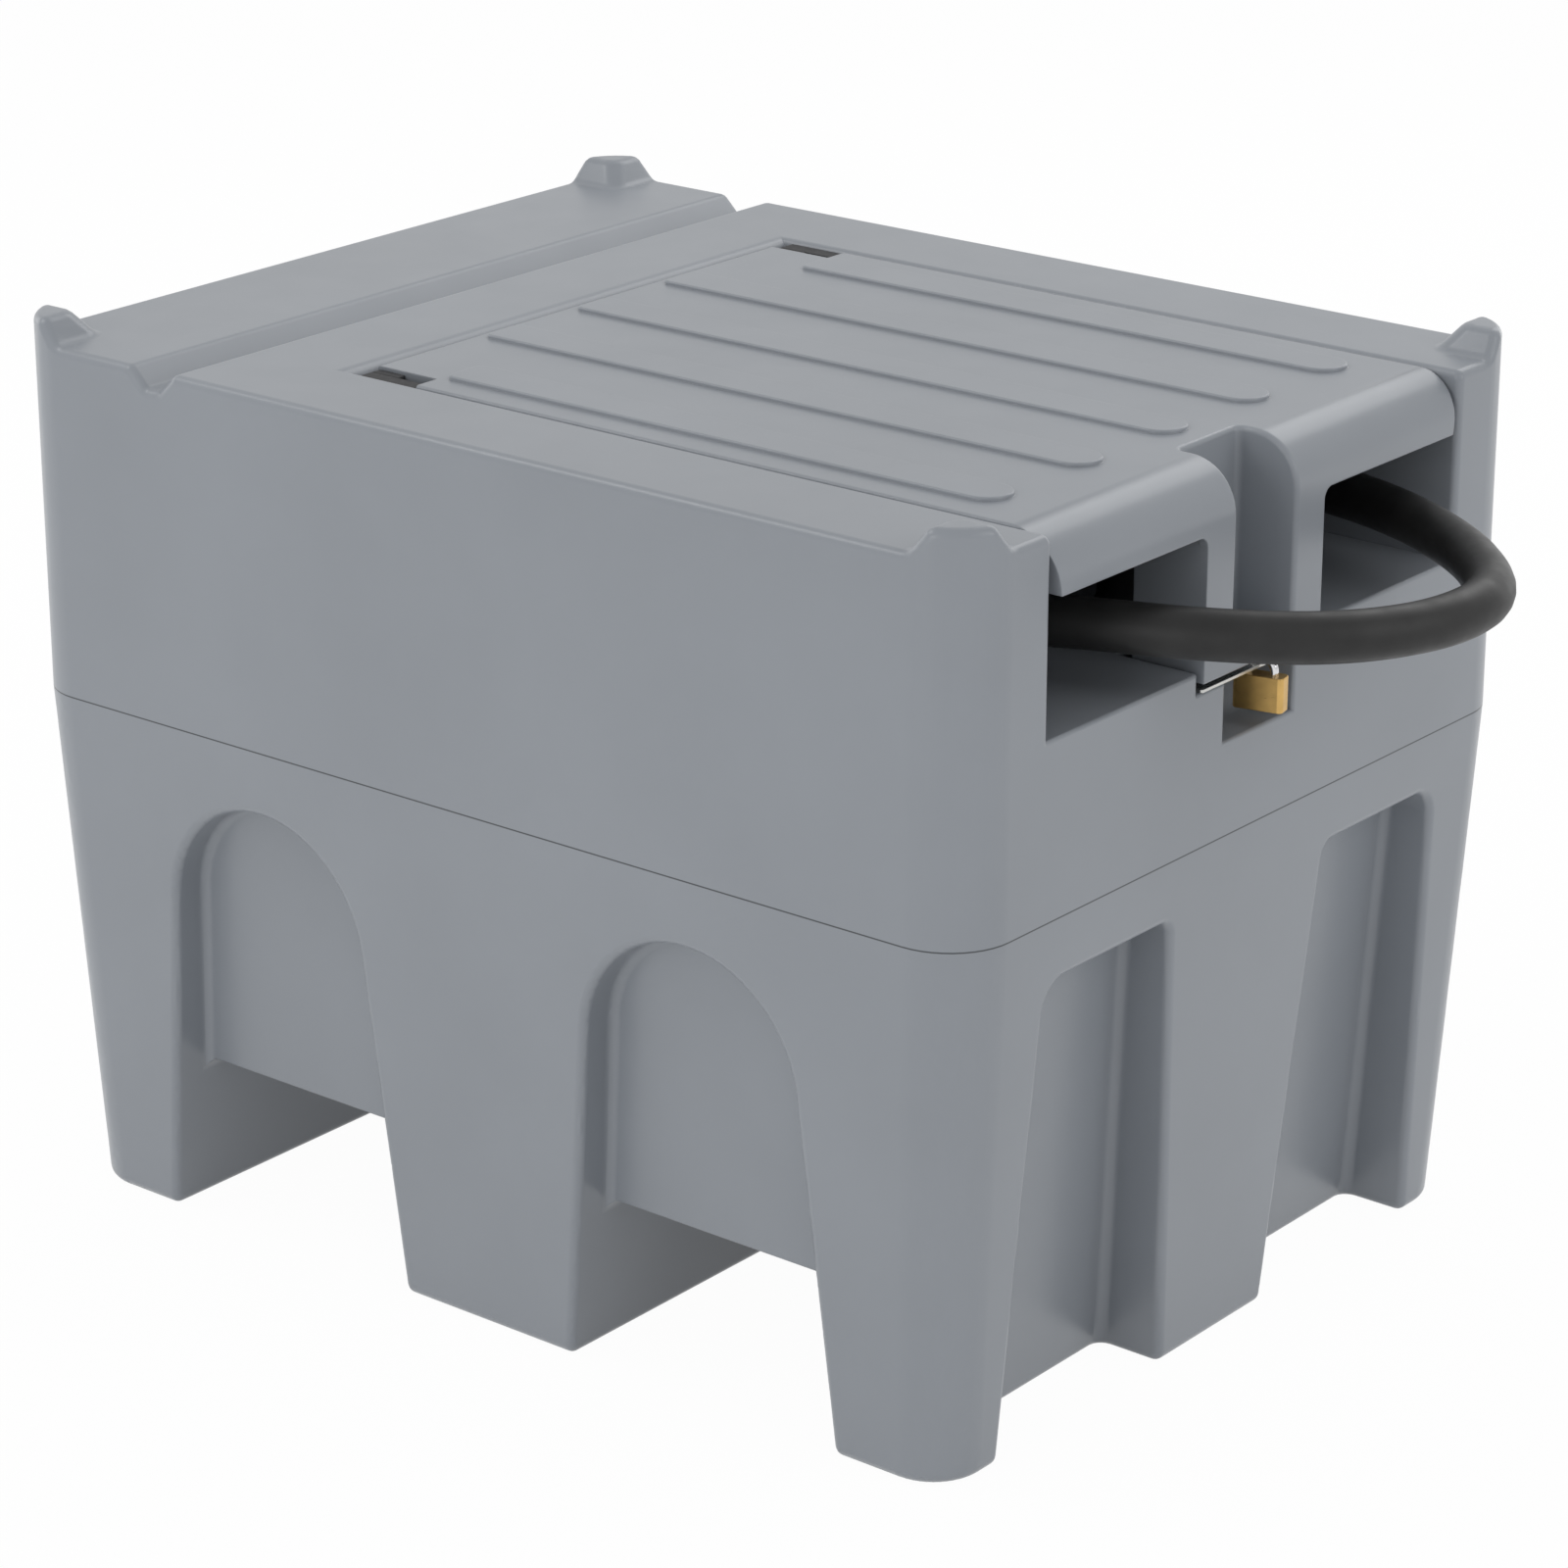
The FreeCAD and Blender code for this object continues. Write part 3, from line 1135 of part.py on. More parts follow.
def sweep_round(radius, vectors, corners):
    """Round bar along straight runs joined by tangent arcs."""
    edges = []
    here = vectors[0]
    for index in range(1, len(vectors) - 1):
        p = vectors[index]
        before = (vectors[index - 1] - p).normalize()
        after = (vectors[index + 1] - p).normalize()
        half = before.getAngle(after) / 2
        reach = corners[index - 1] / math.tan(half)
        bisector = (before + after).normalize()
        centre = p + bisector * (corners[index - 1] / math.sin(half))
        start = p + before * reach
        end = p + after * reach
        if (start - here).Length > 1e-6:
            edges.append(Part.makeLine(here, start))
        edges.append(Part.Arc(start, centre - bisector * corners[index - 1], end).toShape())
        here = end
    edges.append(Part.makeLine(here, vectors[-1]))
    path = Part.Wire(edges)
    ring = Part.Wire(Part.makeCircle(radius, vectors[0], vectors[1] - vectors[0]))
    return path.makePipeShell([ring], True, False)


def port_x():
    """Where both ports' bores lie along X."""
    return (HEAD_X0 + MOTOR_X0) / 2


def suction_elbow():
    """Pipe bend from the inlet port down to the floor flange."""
    y0 = PUMP_Y + PORT_REACH - 12
    points = [(port_x(), y0, PUMP_Z), (port_x(), SUCTION_Y, PUMP_Z),
              (SUCTION_X, SUCTION_Y, WELL_FLOOR_Z + FLANGE_T)]
    bend = SUCTION_Y - y0 - 1
    outer = bent_bar(PIPE_R + 2, points, bend)
    inner = bent_bar(PIPE_BORE_R, points, bend)
    collar = rod(PORT_R, (port_x(), y0, PUMP_Z), (port_x(), y0 + 6, PUMP_Z))
    return fuse_all([outer, collar]).cut(inner)


def suction_flange():
    """Round flange that closes the suction hole, with six screws' holes."""
    top = WELL_FLOOR_Z + FLANGE_T
    disc = post(FLANGE_R, SUCTION_X, SUCTION_Y, WELL_FLOOR_Z, top)
    disc = disc.cut(post(PIPE_R + TOUCH, SUCTION_X, SUCTION_Y, WELL_FLOOR_Z - 1, top + 1))
    for x, y in flange_screw_places():
        disc = disc.cut(post(2.5, x, y, WELL_FLOOR_Z - 1, top + 1))
    return disc


def flange_screw_places():
    """Six places on the flange's bolt circle."""
    radius = FLANGE_R - 8
    places = []
    for index in range(6):
        angle = math.radians(60 * index)
        places.append((SUCTION_X + radius * math.cos(angle), SUCTION_Y + radius * math.sin(angle)))
    return places


def flange_screws():
    """Screws of the suction flange."""
    top = WELL_FLOOR_Z + FLANGE_T
    return Part.makeCompound([screw(2.4, 4.2, 3, (x, y, top), (x, y, WELL_FLOOR_Z - SCREW_GRIP))
                              for x, y in flange_screw_places()])


def suction_pipe():
    """Pipe from the flange down into the fuel."""
    top = WELL_FLOOR_Z + FLANGE_T
    return tube(PIPE_R, PIPE_BORE_R, (SUCTION_X, SUCTION_Y, PIPE_FOOT_Z), (SUCTION_X, SUCTION_Y, top))


def foot_strainer():
    """Slotted strainer at the foot of the pipe."""
    body = post(STRAINER_R, SUCTION_X, SUCTION_Y, STRAINER_Z0, STRAINER_Z1)
    body = body.cut(post(PIPE_R, SUCTION_X, SUCTION_Y, PIPE_FOOT_Z, STRAINER_Z1 + 1))
    body = body.cut(post(STRAINER_R - 3, SUCTION_X, SUCTION_Y, STRAINER_Z0 + 3, PIPE_FOOT_Z))
    for k in range(4):
        slot = box(SUCTION_X - 2, SUCTION_X + 2, SUCTION_Y - STRAINER_R - 1, SUCTION_Y + STRAINER_R + 1,
                   STRAINER_Z0 + 6, PIPE_FOOT_Z - 4)
        slot.rotate(Vector(SUCTION_X, SUCTION_Y, 0), Z_AXIS, 45 * k)
        body = body.cut(slot)
    return body


# Filler and vent

def filler_gasket():
    """Flat seal on the neck's rim."""
    z = WELL_FLOOR_Z + FILLER_NECK_H
    return tube(FILLER_NECK_R, FILLER_BORE_R, (FILLER_X, FILLER_Y, z + CAP_RUNNING),
                (FILLER_X, FILLER_Y, z + GASKET_T))


def filler_cap():
    """Bayonet cap with finger grips round its edge."""
    low = WELL_FLOOR_Z + 6
    rim = WELL_FLOOR_Z + FILLER_NECK_H + GASKET_T
    top = rim + CAP_TOP_T
    cap = post(CAP_R, FILLER_X, FILLER_Y, low, top)
    edge = [e for e in cap.Edges if e.BoundBox.ZMin > top - 0.01]
    cap = cap.makeFillet(3, edge)
    cap = cap.cut(post(FILLER_NECK_R + CAP_RUNNING, FILLER_X, FILLER_Y, low - 1, rim))
    groove = post(3.5, FILLER_X + CAP_R + 1.5, FILLER_Y, low - 1, top + 1)
    for index in range(CAP_GRIPS):
        one = groove.copy()
        one.rotate(Vector(FILLER_X, FILLER_Y, 0), Z_AXIS, 360.0 * index / CAP_GRIPS)
        cap = cap.cut(one)
    handle = box(FILLER_X - 30, FILLER_X + 30, FILLER_Y - 5, FILLER_Y + 5, top, top + 12)
    ends = [e for e in handle.Edges if e.BoundBox.ZLength > 11]
    handle = handle.makeFillet(4.5, ends)
    return cap.fuse(handle).removeSplitter()


def vent_valve():
    """Breather on the well floor, a stem with a mushroom cap."""
    z = WELL_FLOOR_Z
    stem = rod(VENT_HOLE_R - TOUCH, (VENT_X, VENT_Y, z - 14), (VENT_X, VENT_Y, z))
    collar = rod(13, (VENT_X, VENT_Y, z), (VENT_X, VENT_Y, z + 8))
    neck = rod(8, (VENT_X, VENT_Y, z + 8), (VENT_X, VENT_Y, z + 16))
    cap = rod(15, (VENT_X, VENT_Y, z + 16), (VENT_X, VENT_Y, z + 26))
    rim = [e for e in cap.Edges if e.BoundBox.ZMin > z + 25.9]
    cap = cap.makeFillet(4, rim)
    return fuse_all([stem, collar, neck, cap])


# Hose and its ends

def outlet_elbow():
    """Brass bend from the outlet port to the hose, turning to the right."""
    y0 = PUMP_Y - PORT_REACH
    x1 = LEAD_POINTS[0][0] - FERRULE_LENGTH
    points = [(port_x(), y0, PUMP_Z), (port_x(), OUTLET_Y, PUMP_Z), (x1, OUTLET_Y, PUMP_Z)]
    bar = bent_bar(PIPE_R + 2, points, ELBOW_R)
    nut = Part.Face(Part.makePolygon([Vector(port_x() + 19 * math.cos(math.radians(60 * k)), y0,
                                             PUMP_Z + 19 * math.sin(math.radians(60 * k)))
                                      for k in range(7)])).extrude(Vector(0, -12, 0))
    inner = bent_bar(PIPE_BORE_R, points, ELBOW_R)
    return fuse_all([bar, nut]).cut(inner)


def ferrule(x0, x1, y, z):
    """Crimped sleeve on a hose end, with its rolled grooves."""
    sleeve = rod(FERRULE_R, (x0, y, z), (x1, y, z))
    span = x1 - x0
    for share in (0.25, 0.5, 0.75):
        x = x0 + span * share
        ring = tube(FERRULE_R + 1, FERRULE_R - 0.8, (x - 1.5, y, z), (x + 1.5, y, z))
        sleeve = sleeve.cut(ring)
    return sleeve


def hose_route():
    """Corners of the hose's centre line, from the pump to the nozzle."""
    points = [Vector(*p) for p in LEAD_POINTS]
    for index in range(COIL_POINTS):
        angle = math.radians(COIL_FIRST + COIL_STEP * index)
        climb = min(max((index - COIL_RISE_FROM) / (COIL_RISE_TO - COIL_RISE_FROM), 0), 1)
        z = COIL_Z + (COIL_UPPER_Z - COIL_Z) * climb
        points.append(Vector(COIL_X + COIL_R * math.cos(angle), COIL_Y + COIL_R * math.sin(angle), z))
    points += [Vector(*p) for p in LOOP_POINTS]
    points.append(Vector(NOZZLE_X + FERRULE_LENGTH, NOZZLE_Y, NOZZLE_Z))
    return points


def route_radii(points):
    """Largest arc that each corner's two runs allow."""
    radii = []
    for index in range(1, len(points) - 1):
        before = points[index - 1] - points[index]
        after = points[index + 1] - points[index]
        turn = math.pi - before.getAngle(after)
        shorter = min(before.Length, after.Length)
        radii.append(0.45 * shorter / math.tan(turn / 2))
    return radii


def delivery_hose():
    """Rubber hose along its whole route."""
    points = hose_route()
    radii = route_radii(points)
    print("hose radii", [round(r) for r in radii])
    hose = sweep_round(HOSE_R, points, radii)
    print("hose length", round(hose.Volume / (math.pi * HOSE_R ** 2)))
    return hose


# Nozzle

def nozzle_body():
    """Grip, valve chamber and spout socket in one casting."""
    grip = rod(GRIP_R, (GRIP_X0, NOZZLE_Y, NOZZLE_Z), (NOZZLE_X, NOZZLE_Y, NOZZLE_Z))
    valve = Part.makeSphere(VALVE_R, Vector(VALVE_X, NOZZLE_Y, NOZZLE_Z))
    socket = rod(SPOUT_R + 3.5, (VALVE_X - VALVE_R - 12, NOZZLE_Y, NOZZLE_Z), (VALVE_X, NOZZLE_Y, NOZZLE_Z))
    ear = box(VALVE_X + 4, VALVE_X + 20, NOZZLE_Y - 34, NOZZLE_Y - 5, NOZZLE_Z - 7, NOZZLE_Z + 7)
    body = fuse_all([grip, valve, socket, ear])
    gap = box(VALVE_X + 3, VALVE_X + 30, NOZZLE_Y - 40, NOZZLE_Y - 20, NOZZLE_Z - TRIGGER_T / 2 - 0.3,
              NOZZLE_Z + TRIGGER_T / 2 + 0.3)
    return body.cut(gap).cut(trigger_pin()).cut(nozzle_guard())


def trigger_pin_place():
    """Axis of the trigger's pin, along Z."""
    return VALVE_X + 12, NOZZLE_Y - 28


def nozzle_trigger():
    """Lever under the grip, pivoted in the body's fork."""
    x, y = trigger_pin_place()
    half = TRIGGER_T / 2
    plan = [(x - 6, y - 6), (x + 8, y - 8), (x + 54, y - 14), (x + 56, y - 8), (x + 20, y - 0.5),
            (x + 6, y + 5), (x - 6, y + 5)]
    lever = xy_prism(plan, [4, 10, 2.5, 2.5, 12, 3, 3], NOZZLE_Z - half, NOZZLE_Z + half)
    return lever.cut(rod(TRIGGER_PIN_R + TOUCH, (x, y, NOZZLE_Z - 10), (x, y, NOZZLE_Z + 10)))


def trigger_pin():
    """Pin through the fork and the trigger."""
    x, y = trigger_pin_place()
    return rod(TRIGGER_PIN_R, (x, y, NOZZLE_Z - 6.8), (x, y, NOZZLE_Z + 6.8))


def nozzle_guard():
    """Bent guard round the trigger, from the socket to the grip's end."""
    low_y = NOZZLE_Y - GUARD_DROP
    socket_x = VALVE_X - VALVE_R - 6
    points = [(socket_x, NOZZLE_Y - SPOUT_R - 1, NOZZLE_Z), (socket_x, low_y, NOZZLE_Z),
              (NOZZLE_X - 6, low_y, NOZZLE_Z), (NOZZLE_X - 6, NOZZLE_Y - GRIP_R + 2, NOZZLE_Z)]
    return bent_bar(GUARD_R, points, GUARD_BEND_R)


def nozzle_spout():
    """Bent metal spout."""
    x0 = VALVE_X - VALVE_R - 12
    x1 = x0 - SPOUT_STRAIGHT
    lean = math.radians(SPOUT_BEND)
    points = [(x0, NOZZLE_Y, NOZZLE_Z), (x1, NOZZLE_Y, NOZZLE_Z),
              (x1 - SPOUT_REACH * math.cos(lean), NOZZLE_Y - SPOUT_REACH * math.sin(lean), NOZZLE_Z)]
    return bent_bar(SPOUT_R, points, SPOUT_BEND_R).cut(bent_bar(SPOUT_BORE_R, points, SPOUT_BEND_R))


def nozzle_holder():
    """Bracket on the well's rear wall with two cradles for the grip."""
    wall = WELL_REAR_Y
    z0 = NOZZLE_Z - GRIP_R
    x0 = GRIP_X0 + 1
    plate = box(x0, x0 + HOLDER_WIDTH, wall - HOLDER_T, wall, z0 - 22, NOZZLE_Z + 30)
    cradles = []
    for x in (x0 + CRADLE_T, x0 + HOLDER_WIDTH - 2 * CRADLE_T):
        saddle = box(x, x + CRADLE_T, NOZZLE_Y - GRIP_R - 5, wall - HOLDER_T, z0 - 12, NOZZLE_Z)
        saddle = saddle.cut(rod(GRIP_R + 0.3, (x - 1, NOZZLE_Y, NOZZLE_Z),
                                (x + CRADLE_T + 1, NOZZLE_Y, NOZZLE_Z)))
        cradles.append(saddle)
    return fuse_all([plate] + cradles)


base = hinge_base()
pin_x0, pin_x1 = hinge_pin_span()
base = hinge_bore(base, HINGE_PIN_R, pin_x0, 0)
leaf = hinge_bore(hinge_leaf(), HINGE_PIN_R + HINGE_RUNNING, pin_x0, pin_x1 + 2)
base_screws = [screw(HINGE_SCREW_R, HINGE_SCREW_HEAD_R, HINGE_SCREW_HEAD, (x, y, SHELF_Z + HINGE_LEAF_T),
                     (x, y, SHELF_Z - SCREW_GRIP)) for x, y in hinge_base_screw_places()]
leaf_foot = LID_TOP_Z - LID_WALL - HINGE_LEAF_T
leaf_screws = [screw(HINGE_SCREW_R, HINGE_SCREW_HEAD_R, HINGE_SCREW_HEAD, (x, y, leaf_foot),
                     (x, y, leaf_foot + HINGE_LEAF_T + SCREW_GRIP)) for x, y in hinge_leaf_screw_places()]
for item in base_screws:
    base = base.cut(item)
for item in leaf_screws:
    leaf = leaf.cut(item)
keep("hinge_base_left", base)
keep("hinge_base_right", mirror_x(base))
keep("hinge_leaf_left", leaf)
keep("hinge_leaf_right", mirror_x(leaf))
keep("hinge_pins", Part.makeCompound([hinge_pin(), mirror_x(hinge_pin())]))
leaf_screws += [mirror_x(item) for item in leaf_screws]
base_screws += [mirror_x(item) for item in base_screws]
keep("hinge_leaf_screws", Part.makeCompound(leaf_screws))
keep("hinge_base_screws", Part.makeCompound(base_screws))

plate = lock_plate()
plate_screws = [screw(2.4, 4.5, 2.0, (sign * PLATE_SCREW_X, PLATE_SCREW_Y, NOTCH_Z + PLATE_T),
                      (sign * PLATE_SCREW_X, PLATE_SCREW_Y, NOTCH_Z - SCREW_GRIP)) for sign in (-1, 1)]
for item in plate_screws:
    plate = plate.cut(item)
keep("lock_plate", plate)
keep("lock_plate_screws", Part.makeCompound(plate_screws))
keep("padlock_body", padlock_body())
keep("padlock_shackle", padlock_shackle())
keep("padlock_cylinder", padlock_cylinder())
keep("lid_buffers", lid_buffers())

keep("pump_base", pump_base())
keep("pump_base_bolts", base_bolts())
keep("pump_body", pump_body())
keep("pump_cover", pump_cover())
keep("pump_cover_bolts", cover_bolts())
keep("motor_shaft", motor_shaft())
keep("impeller", impeller())
keep("armature", armature())
keep("front_bearing", bearing(MOTOR_X0 + 3))
keep("rear_bearing", bearing(MOTOR_X1 + END_CAP_T - 3 - BEARING_T))
keep("motor_housing", motor_housing())
keep("motor_magnets", motor_magnets())
keep("motor_end_cap", motor_end_cap())
keep("carbon_brushes", carbon_brushes())
keep("shaft_seal", shaft_seal())
keep("switch_box", switch_box())
keep("pump_switch", rocker())
keep("cable_gland", cable_gland())

keep("suction_elbow", suction_elbow())
keep("suction_flange", suction_flange())
keep("suction_flange_screws", flange_screws())
keep("suction_pipe", suction_pipe())
keep("foot_strainer", foot_strainer())
keep("filler_gasket", filler_gasket())
keep("filler_cap", filler_cap())
keep("vent_valve", vent_valve())

keep("outlet_elbow", outlet_elbow())
keep("hose_ferrule_pump", ferrule(LEAD_POINTS[0][0] - FERRULE_LENGTH, LEAD_POINTS[0][0], OUTLET_Y, PUMP_Z))
keep("hose_ferrule_nozzle", ferrule(NOZZLE_X, NOZZLE_X + FERRULE_LENGTH, NOZZLE_Y, NOZZLE_Z))
keep("delivery_hose", delivery_hose())
keep("nozzle_body", nozzle_body())
keep("nozzle_trigger", nozzle_trigger())
keep("nozzle_trigger_pin", trigger_pin())
keep("nozzle_guard", nozzle_guard())
keep("nozzle_spout", nozzle_spout())
keep("nozzle_holder", nozzle_holder())

body = tank_body()
threads = base_screws + plate_screws + parts["pump_base_bolts"].Solids + parts["suction_flange_screws"].Solids
for item in threads:
    body = body.cut(item)
keep("tank_body", body)
top = lid()
for item in leaf_screws:
    top = top.cut(item)
keep("lid", top)

os.makedirs("parts", exist_ok=True)
for name, shape in parts.items():
    shape.exportStep("parts/" + name + ".step")
    if not shape.isValid():
        print("not valid", name)
print(len(parts), "parts,", sum(len(shape.Solids) for shape in parts.values()), "solids")
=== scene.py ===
import json
import math

import bpy
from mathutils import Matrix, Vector


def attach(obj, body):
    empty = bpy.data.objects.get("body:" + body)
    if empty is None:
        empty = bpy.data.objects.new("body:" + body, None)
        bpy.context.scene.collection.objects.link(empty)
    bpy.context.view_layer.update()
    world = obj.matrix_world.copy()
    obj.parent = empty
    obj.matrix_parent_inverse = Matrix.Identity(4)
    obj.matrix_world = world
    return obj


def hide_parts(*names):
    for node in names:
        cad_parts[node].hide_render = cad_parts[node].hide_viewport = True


# Looks of the fuel transfer tank. Metres, in the same frame as the solids.

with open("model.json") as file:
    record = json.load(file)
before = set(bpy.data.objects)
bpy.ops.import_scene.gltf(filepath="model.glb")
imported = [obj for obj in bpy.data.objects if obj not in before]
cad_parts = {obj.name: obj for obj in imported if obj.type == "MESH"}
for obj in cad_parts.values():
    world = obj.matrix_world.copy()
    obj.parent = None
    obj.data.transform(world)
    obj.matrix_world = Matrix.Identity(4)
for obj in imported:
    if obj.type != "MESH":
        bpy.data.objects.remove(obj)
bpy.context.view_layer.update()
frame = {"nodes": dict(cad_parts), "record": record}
nodes = frame["nodes"]

# Camera, solved from the tank's edges in the photograph
CAMERA_PLACE = (-2.446, -1.992, 1.4696)
CAMERA_LOOK = (0.7294, 0.5889, -0.3482)
CAMERA_LENS = 112.76
CAMERA_SENSOR = 36.0
CAMERA_REACH = 100.0

# Where the two halves of the mould met, all round the tank
PARTING_Z = 0.3664
PARTING_CORE = 0.00025
PARTING_EDGE = 0.0007
PARTING_COLOR = (0.045, 0.050, 0.056)

# Shading of the solids: corners closer than this are one, edges sharper than this stay sharp
WELD_DISTANCE = 0.00001
SHARP_ANGLE = 28.0

# Hose, the same route as the solid's: a lead from the pump, a coil that climbs, the loop outside
HOSE_RADIUS = 0.01625
COIL_CENTRE = (0.0, -0.055)
COIL_RADIUS = 0.202
COIL_STEP = 30.0
COIL_POINTS = 17
COIL_FIRST = 45.0
COIL_LOW = 0.432
COIL_HIGH = 0.467
COIL_RISE_FROM = 6
COIL_RISE_TO = 10
LEAD_POINTS = [
    (0.005, -0.165, 0.482), (0.062, -0.165, 0.482), (0.124, -0.146, 0.458),
    (0.170, -0.086, 0.435), (0.191, -0.025, 0.432), (0.184, 0.034, 0.432)]
LOOP_POINTS = [
    (-0.196, -0.107, 0.476), (-0.182, -0.196, 0.500), (-0.163, -0.275, 0.520), (-0.141, -0.350, 0.526),
    (-0.112, -0.430, 0.526), (-0.066, -0.496, 0.525), (0.002, -0.527, 0.523), (0.068, -0.526, 0.523),
    (0.117, -0.486, 0.524), (0.152, -0.437, 0.525), (0.176, -0.385, 0.526), (0.191, -0.330, 0.526),
    (0.198, -0.270, 0.526), (0.201, -0.200, 0.525), (0.202, -0.130, 0.524), (0.201, -0.050, 0.523),
    (0.200, 0.053, 0.522), (0.172, 0.101, 0.522), (0.125, 0.128, 0.522)]
HOSE_END = (0.070, 0.128, 0.522)

# Stage
FLOOR_HALF = 12.0
FLOOR_DROP = 0.0004
FLOOR_SHADE = 0.94
FLOOR_SHADOW_SHARE = 0.03
WORLD_STRENGTH = 0.61
LAMP_TARGET = (0.0, 0.0, 0.35)
LAMPS = [  # name, place, edge length, power
    ("left_box", (-3.4, -0.2, 1.0), 1.8, 18.0),
    ("front_box", (0.3, -3.2, 1.9), 1.8, 15.0),
    ("right_box", (3.4, -0.2, 1.0), 1.8, 9.0),
    ("back_box", (-0.3, 3.5, 1.2), 1.8, 11.0),
    ("left_edge_box", (-1.3, 1.9, 3.1), 1.2, 15.5),
    ("front_edge_box", (2.6, 0.1, 2.8), 1.8, 18.5)]


# Camera

def add_camera():
    """Camera at the photograph's viewing angle."""
    data = bpy.data.cameras.new("camera")
    data.lens = CAMERA_LENS
    data.sensor_width = CAMERA_SENSOR
    data.clip_end = CAMERA_REACH
    camera = bpy.data.objects.new("camera", data)
    camera.location = CAMERA_PLACE
    camera.rotation_euler = Vector(CAMERA_LOOK).to_track_quat("-Z", "Y").to_euler()
    bpy.context.scene.collection.objects.link(camera)
    bpy.context.scene.camera = camera


# Materials

class Surface:
    """Builds one node material around a Principled shader."""

    def __init__(self, name, color, roughness, metallic=0.0):
        self.material = bpy.data.materials.new(name)
        self.material.use_nodes = True
        self.tree = self.material.node_tree
        self.shader = self.tree.nodes["Principled BSDF"]
        self.color = color
        self.roughness = roughness
        self.set_level("Roughness", roughness)
        self.set_level("Metallic", metallic)
        self.set_level("Base Color", (*color, 1.0))
        self.place = self.tree.nodes.new("ShaderNodeNewGeometry").outputs["Position"]
        self.bump_normal = None
        self.color_socket = None

    def set_level(self, socket, value):
        """Set a value that is the same all over the surface."""
        self.shader.inputs[socket].default_value = value

    def link(self, out, into):
        """Join an output socket to an input socket."""
        self.tree.links.new(out, into)

    def noise(self, scale, detail=3.0, rough=0.5, stretch=None):
        """Noise of a given scale per metre, stretched along an axis if asked."""
        node = self.tree.nodes.new("ShaderNodeTexNoise")
        node.inputs["Scale"].default_value = scale
        node.inputs["Detail"].default_value = detail
        node.inputs["Roughness"].default_value = rough
        if stretch is None:
            self.link(self.place, node.inputs["Vector"])
        else:
            mapping = self.tree.nodes.new("ShaderNodeMapping")
            mapping.inputs["Scale"].default_value = stretch
            self.link(self.place, mapping.inputs["Vector"])
            self.link(mapping.outputs["Vector"], node.inputs["Vector"])
        return node.outputs["Fac"]

    def ramp(self, value, low, high, start=0.3, end=0.7):
        """Turn a value that runs from start to end into one that runs from low to high."""
        node = self.tree.nodes.new("ShaderNodeMapRange")
        node.inputs["From Min"].default_value = start
        node.inputs["From Max"].default_value = end
        node.inputs["To Min"].default_value = low
        node.inputs["To Max"].default_value = high
        self.link(value, node.inputs["Value"])
        return node.outputs["Result"]

    def math(self, operation, first, second):
        """One arithmetic step on a socket."""
        node = self.tree.nodes.new("ShaderNodeMath")
        node.operation = operation
        self.link(first, node.inputs[0])
        node.inputs[1].default_value = second
        return node.outputs[0]

    def vary_color(self, value, darker, lighter):
        """Let the base colour drift between a darker and a lighter shade with a noise value."""
        mix = self.tree.nodes.new("ShaderNodeMix")
        mix.data_type = "RGBA"
        mix.inputs["A"].default_value = (*[c * darker for c in self.color], 1.0)
        mix.inputs["B"].default_value = (*[min(c * lighter, 1.0) for c in self.color], 1.0)
        self.link(self.ramp(value, low=0.0, high=1.0), mix.inputs["Factor"])
        self.color_socket = mix.outputs["Result"]
        self.link(self.color_socket, self.shader.inputs["Base Color"])

    def vary_roughness(self, value, spread):
        """Let the roughness drift about its level with a noise value."""
        drift = self.ramp(value, low=self.roughness - spread, high=self.roughness + spread)
        self.link(drift, self.shader.inputs["Roughness"])

    def bump(self, height, depth, strength):
        """Add a relief of a given depth in metres on top of earlier ones."""
        node = self.tree.nodes.new("ShaderNodeBump")
        node.inputs["Distance"].default_value = depth
        node.inputs["Strength"].default_value = strength
        self.link(height, node.inputs["Height"])
        if self.bump_normal is not None:
            self.link(self.bump_normal, node.inputs["Normal"])
        self.bump_normal = node.outputs["Normal"]
        self.link(self.bump_normal, self.shader.inputs["Normal"])

    def soften_edges(self, radius):
        """Round the sharp edges for the light by a small radius."""
        node = self.tree.nodes.new("ShaderNodeBevel")
        node.samples = 6
        node.inputs["Radius"].default_value = radius
        self.bump_normal = node.outputs["Normal"]
        self.link(self.bump_normal, self.shader.inputs["Normal"])

    def draw_level_line(self, height, core, edge, color):
        """Darken a thin level line at a height, full within core of it and gone at edge."""
        split = self.tree.nodes.new("ShaderNodeSeparateXYZ")
        self.link(self.place, split.inputs["Vector"])
        away = self.math("SUBTRACT", split.outputs["Z"], height)
        away = self.math("ABSOLUTE", away, 0.0)
        mix = self.tree.nodes.new("ShaderNodeMix")
        mix.data_type = "RGBA"
        self.link(self.ramp(away, low=1.0, high=0.0, start=core, end=edge), mix.inputs["Factor"])
        self.link(self.color_socket, mix.inputs["A"])
        mix.inputs["B"].default_value = (*color, 1.0)
        self.link(mix.outputs["Result"], self.shader.inputs["Base Color"])


def moulded_grey():
    """Rotationally moulded polyethylene: satin, a soft ripple, a fine grain and the parting line."""
    surface = Surface("moulded_grey", (0.266, 0.286, 0.315), roughness=0.30)
    surface.set_level("IOR", 1.50)
    surface.set_level("Specular IOR Level", 0.5)
    surface.soften_edges(0.0015)
    surface.vary_color(surface.noise(7.0, detail=4.0), darker=0.97, lighter=1.03)
    surface.vary_roughness(surface.noise(24.0, detail=3.0), spread=0.02)
    surface.bump(surface.noise(9.0, detail=1.0), depth=0.0004, strength=0.15)
    surface.bump(surface.noise(950.0, detail=2.0), depth=0.00002, strength=0.20)
    surface.draw_level_line(PARTING_Z, PARTING_CORE, PARTING_EDGE, PARTING_COLOR)
    return surface.material


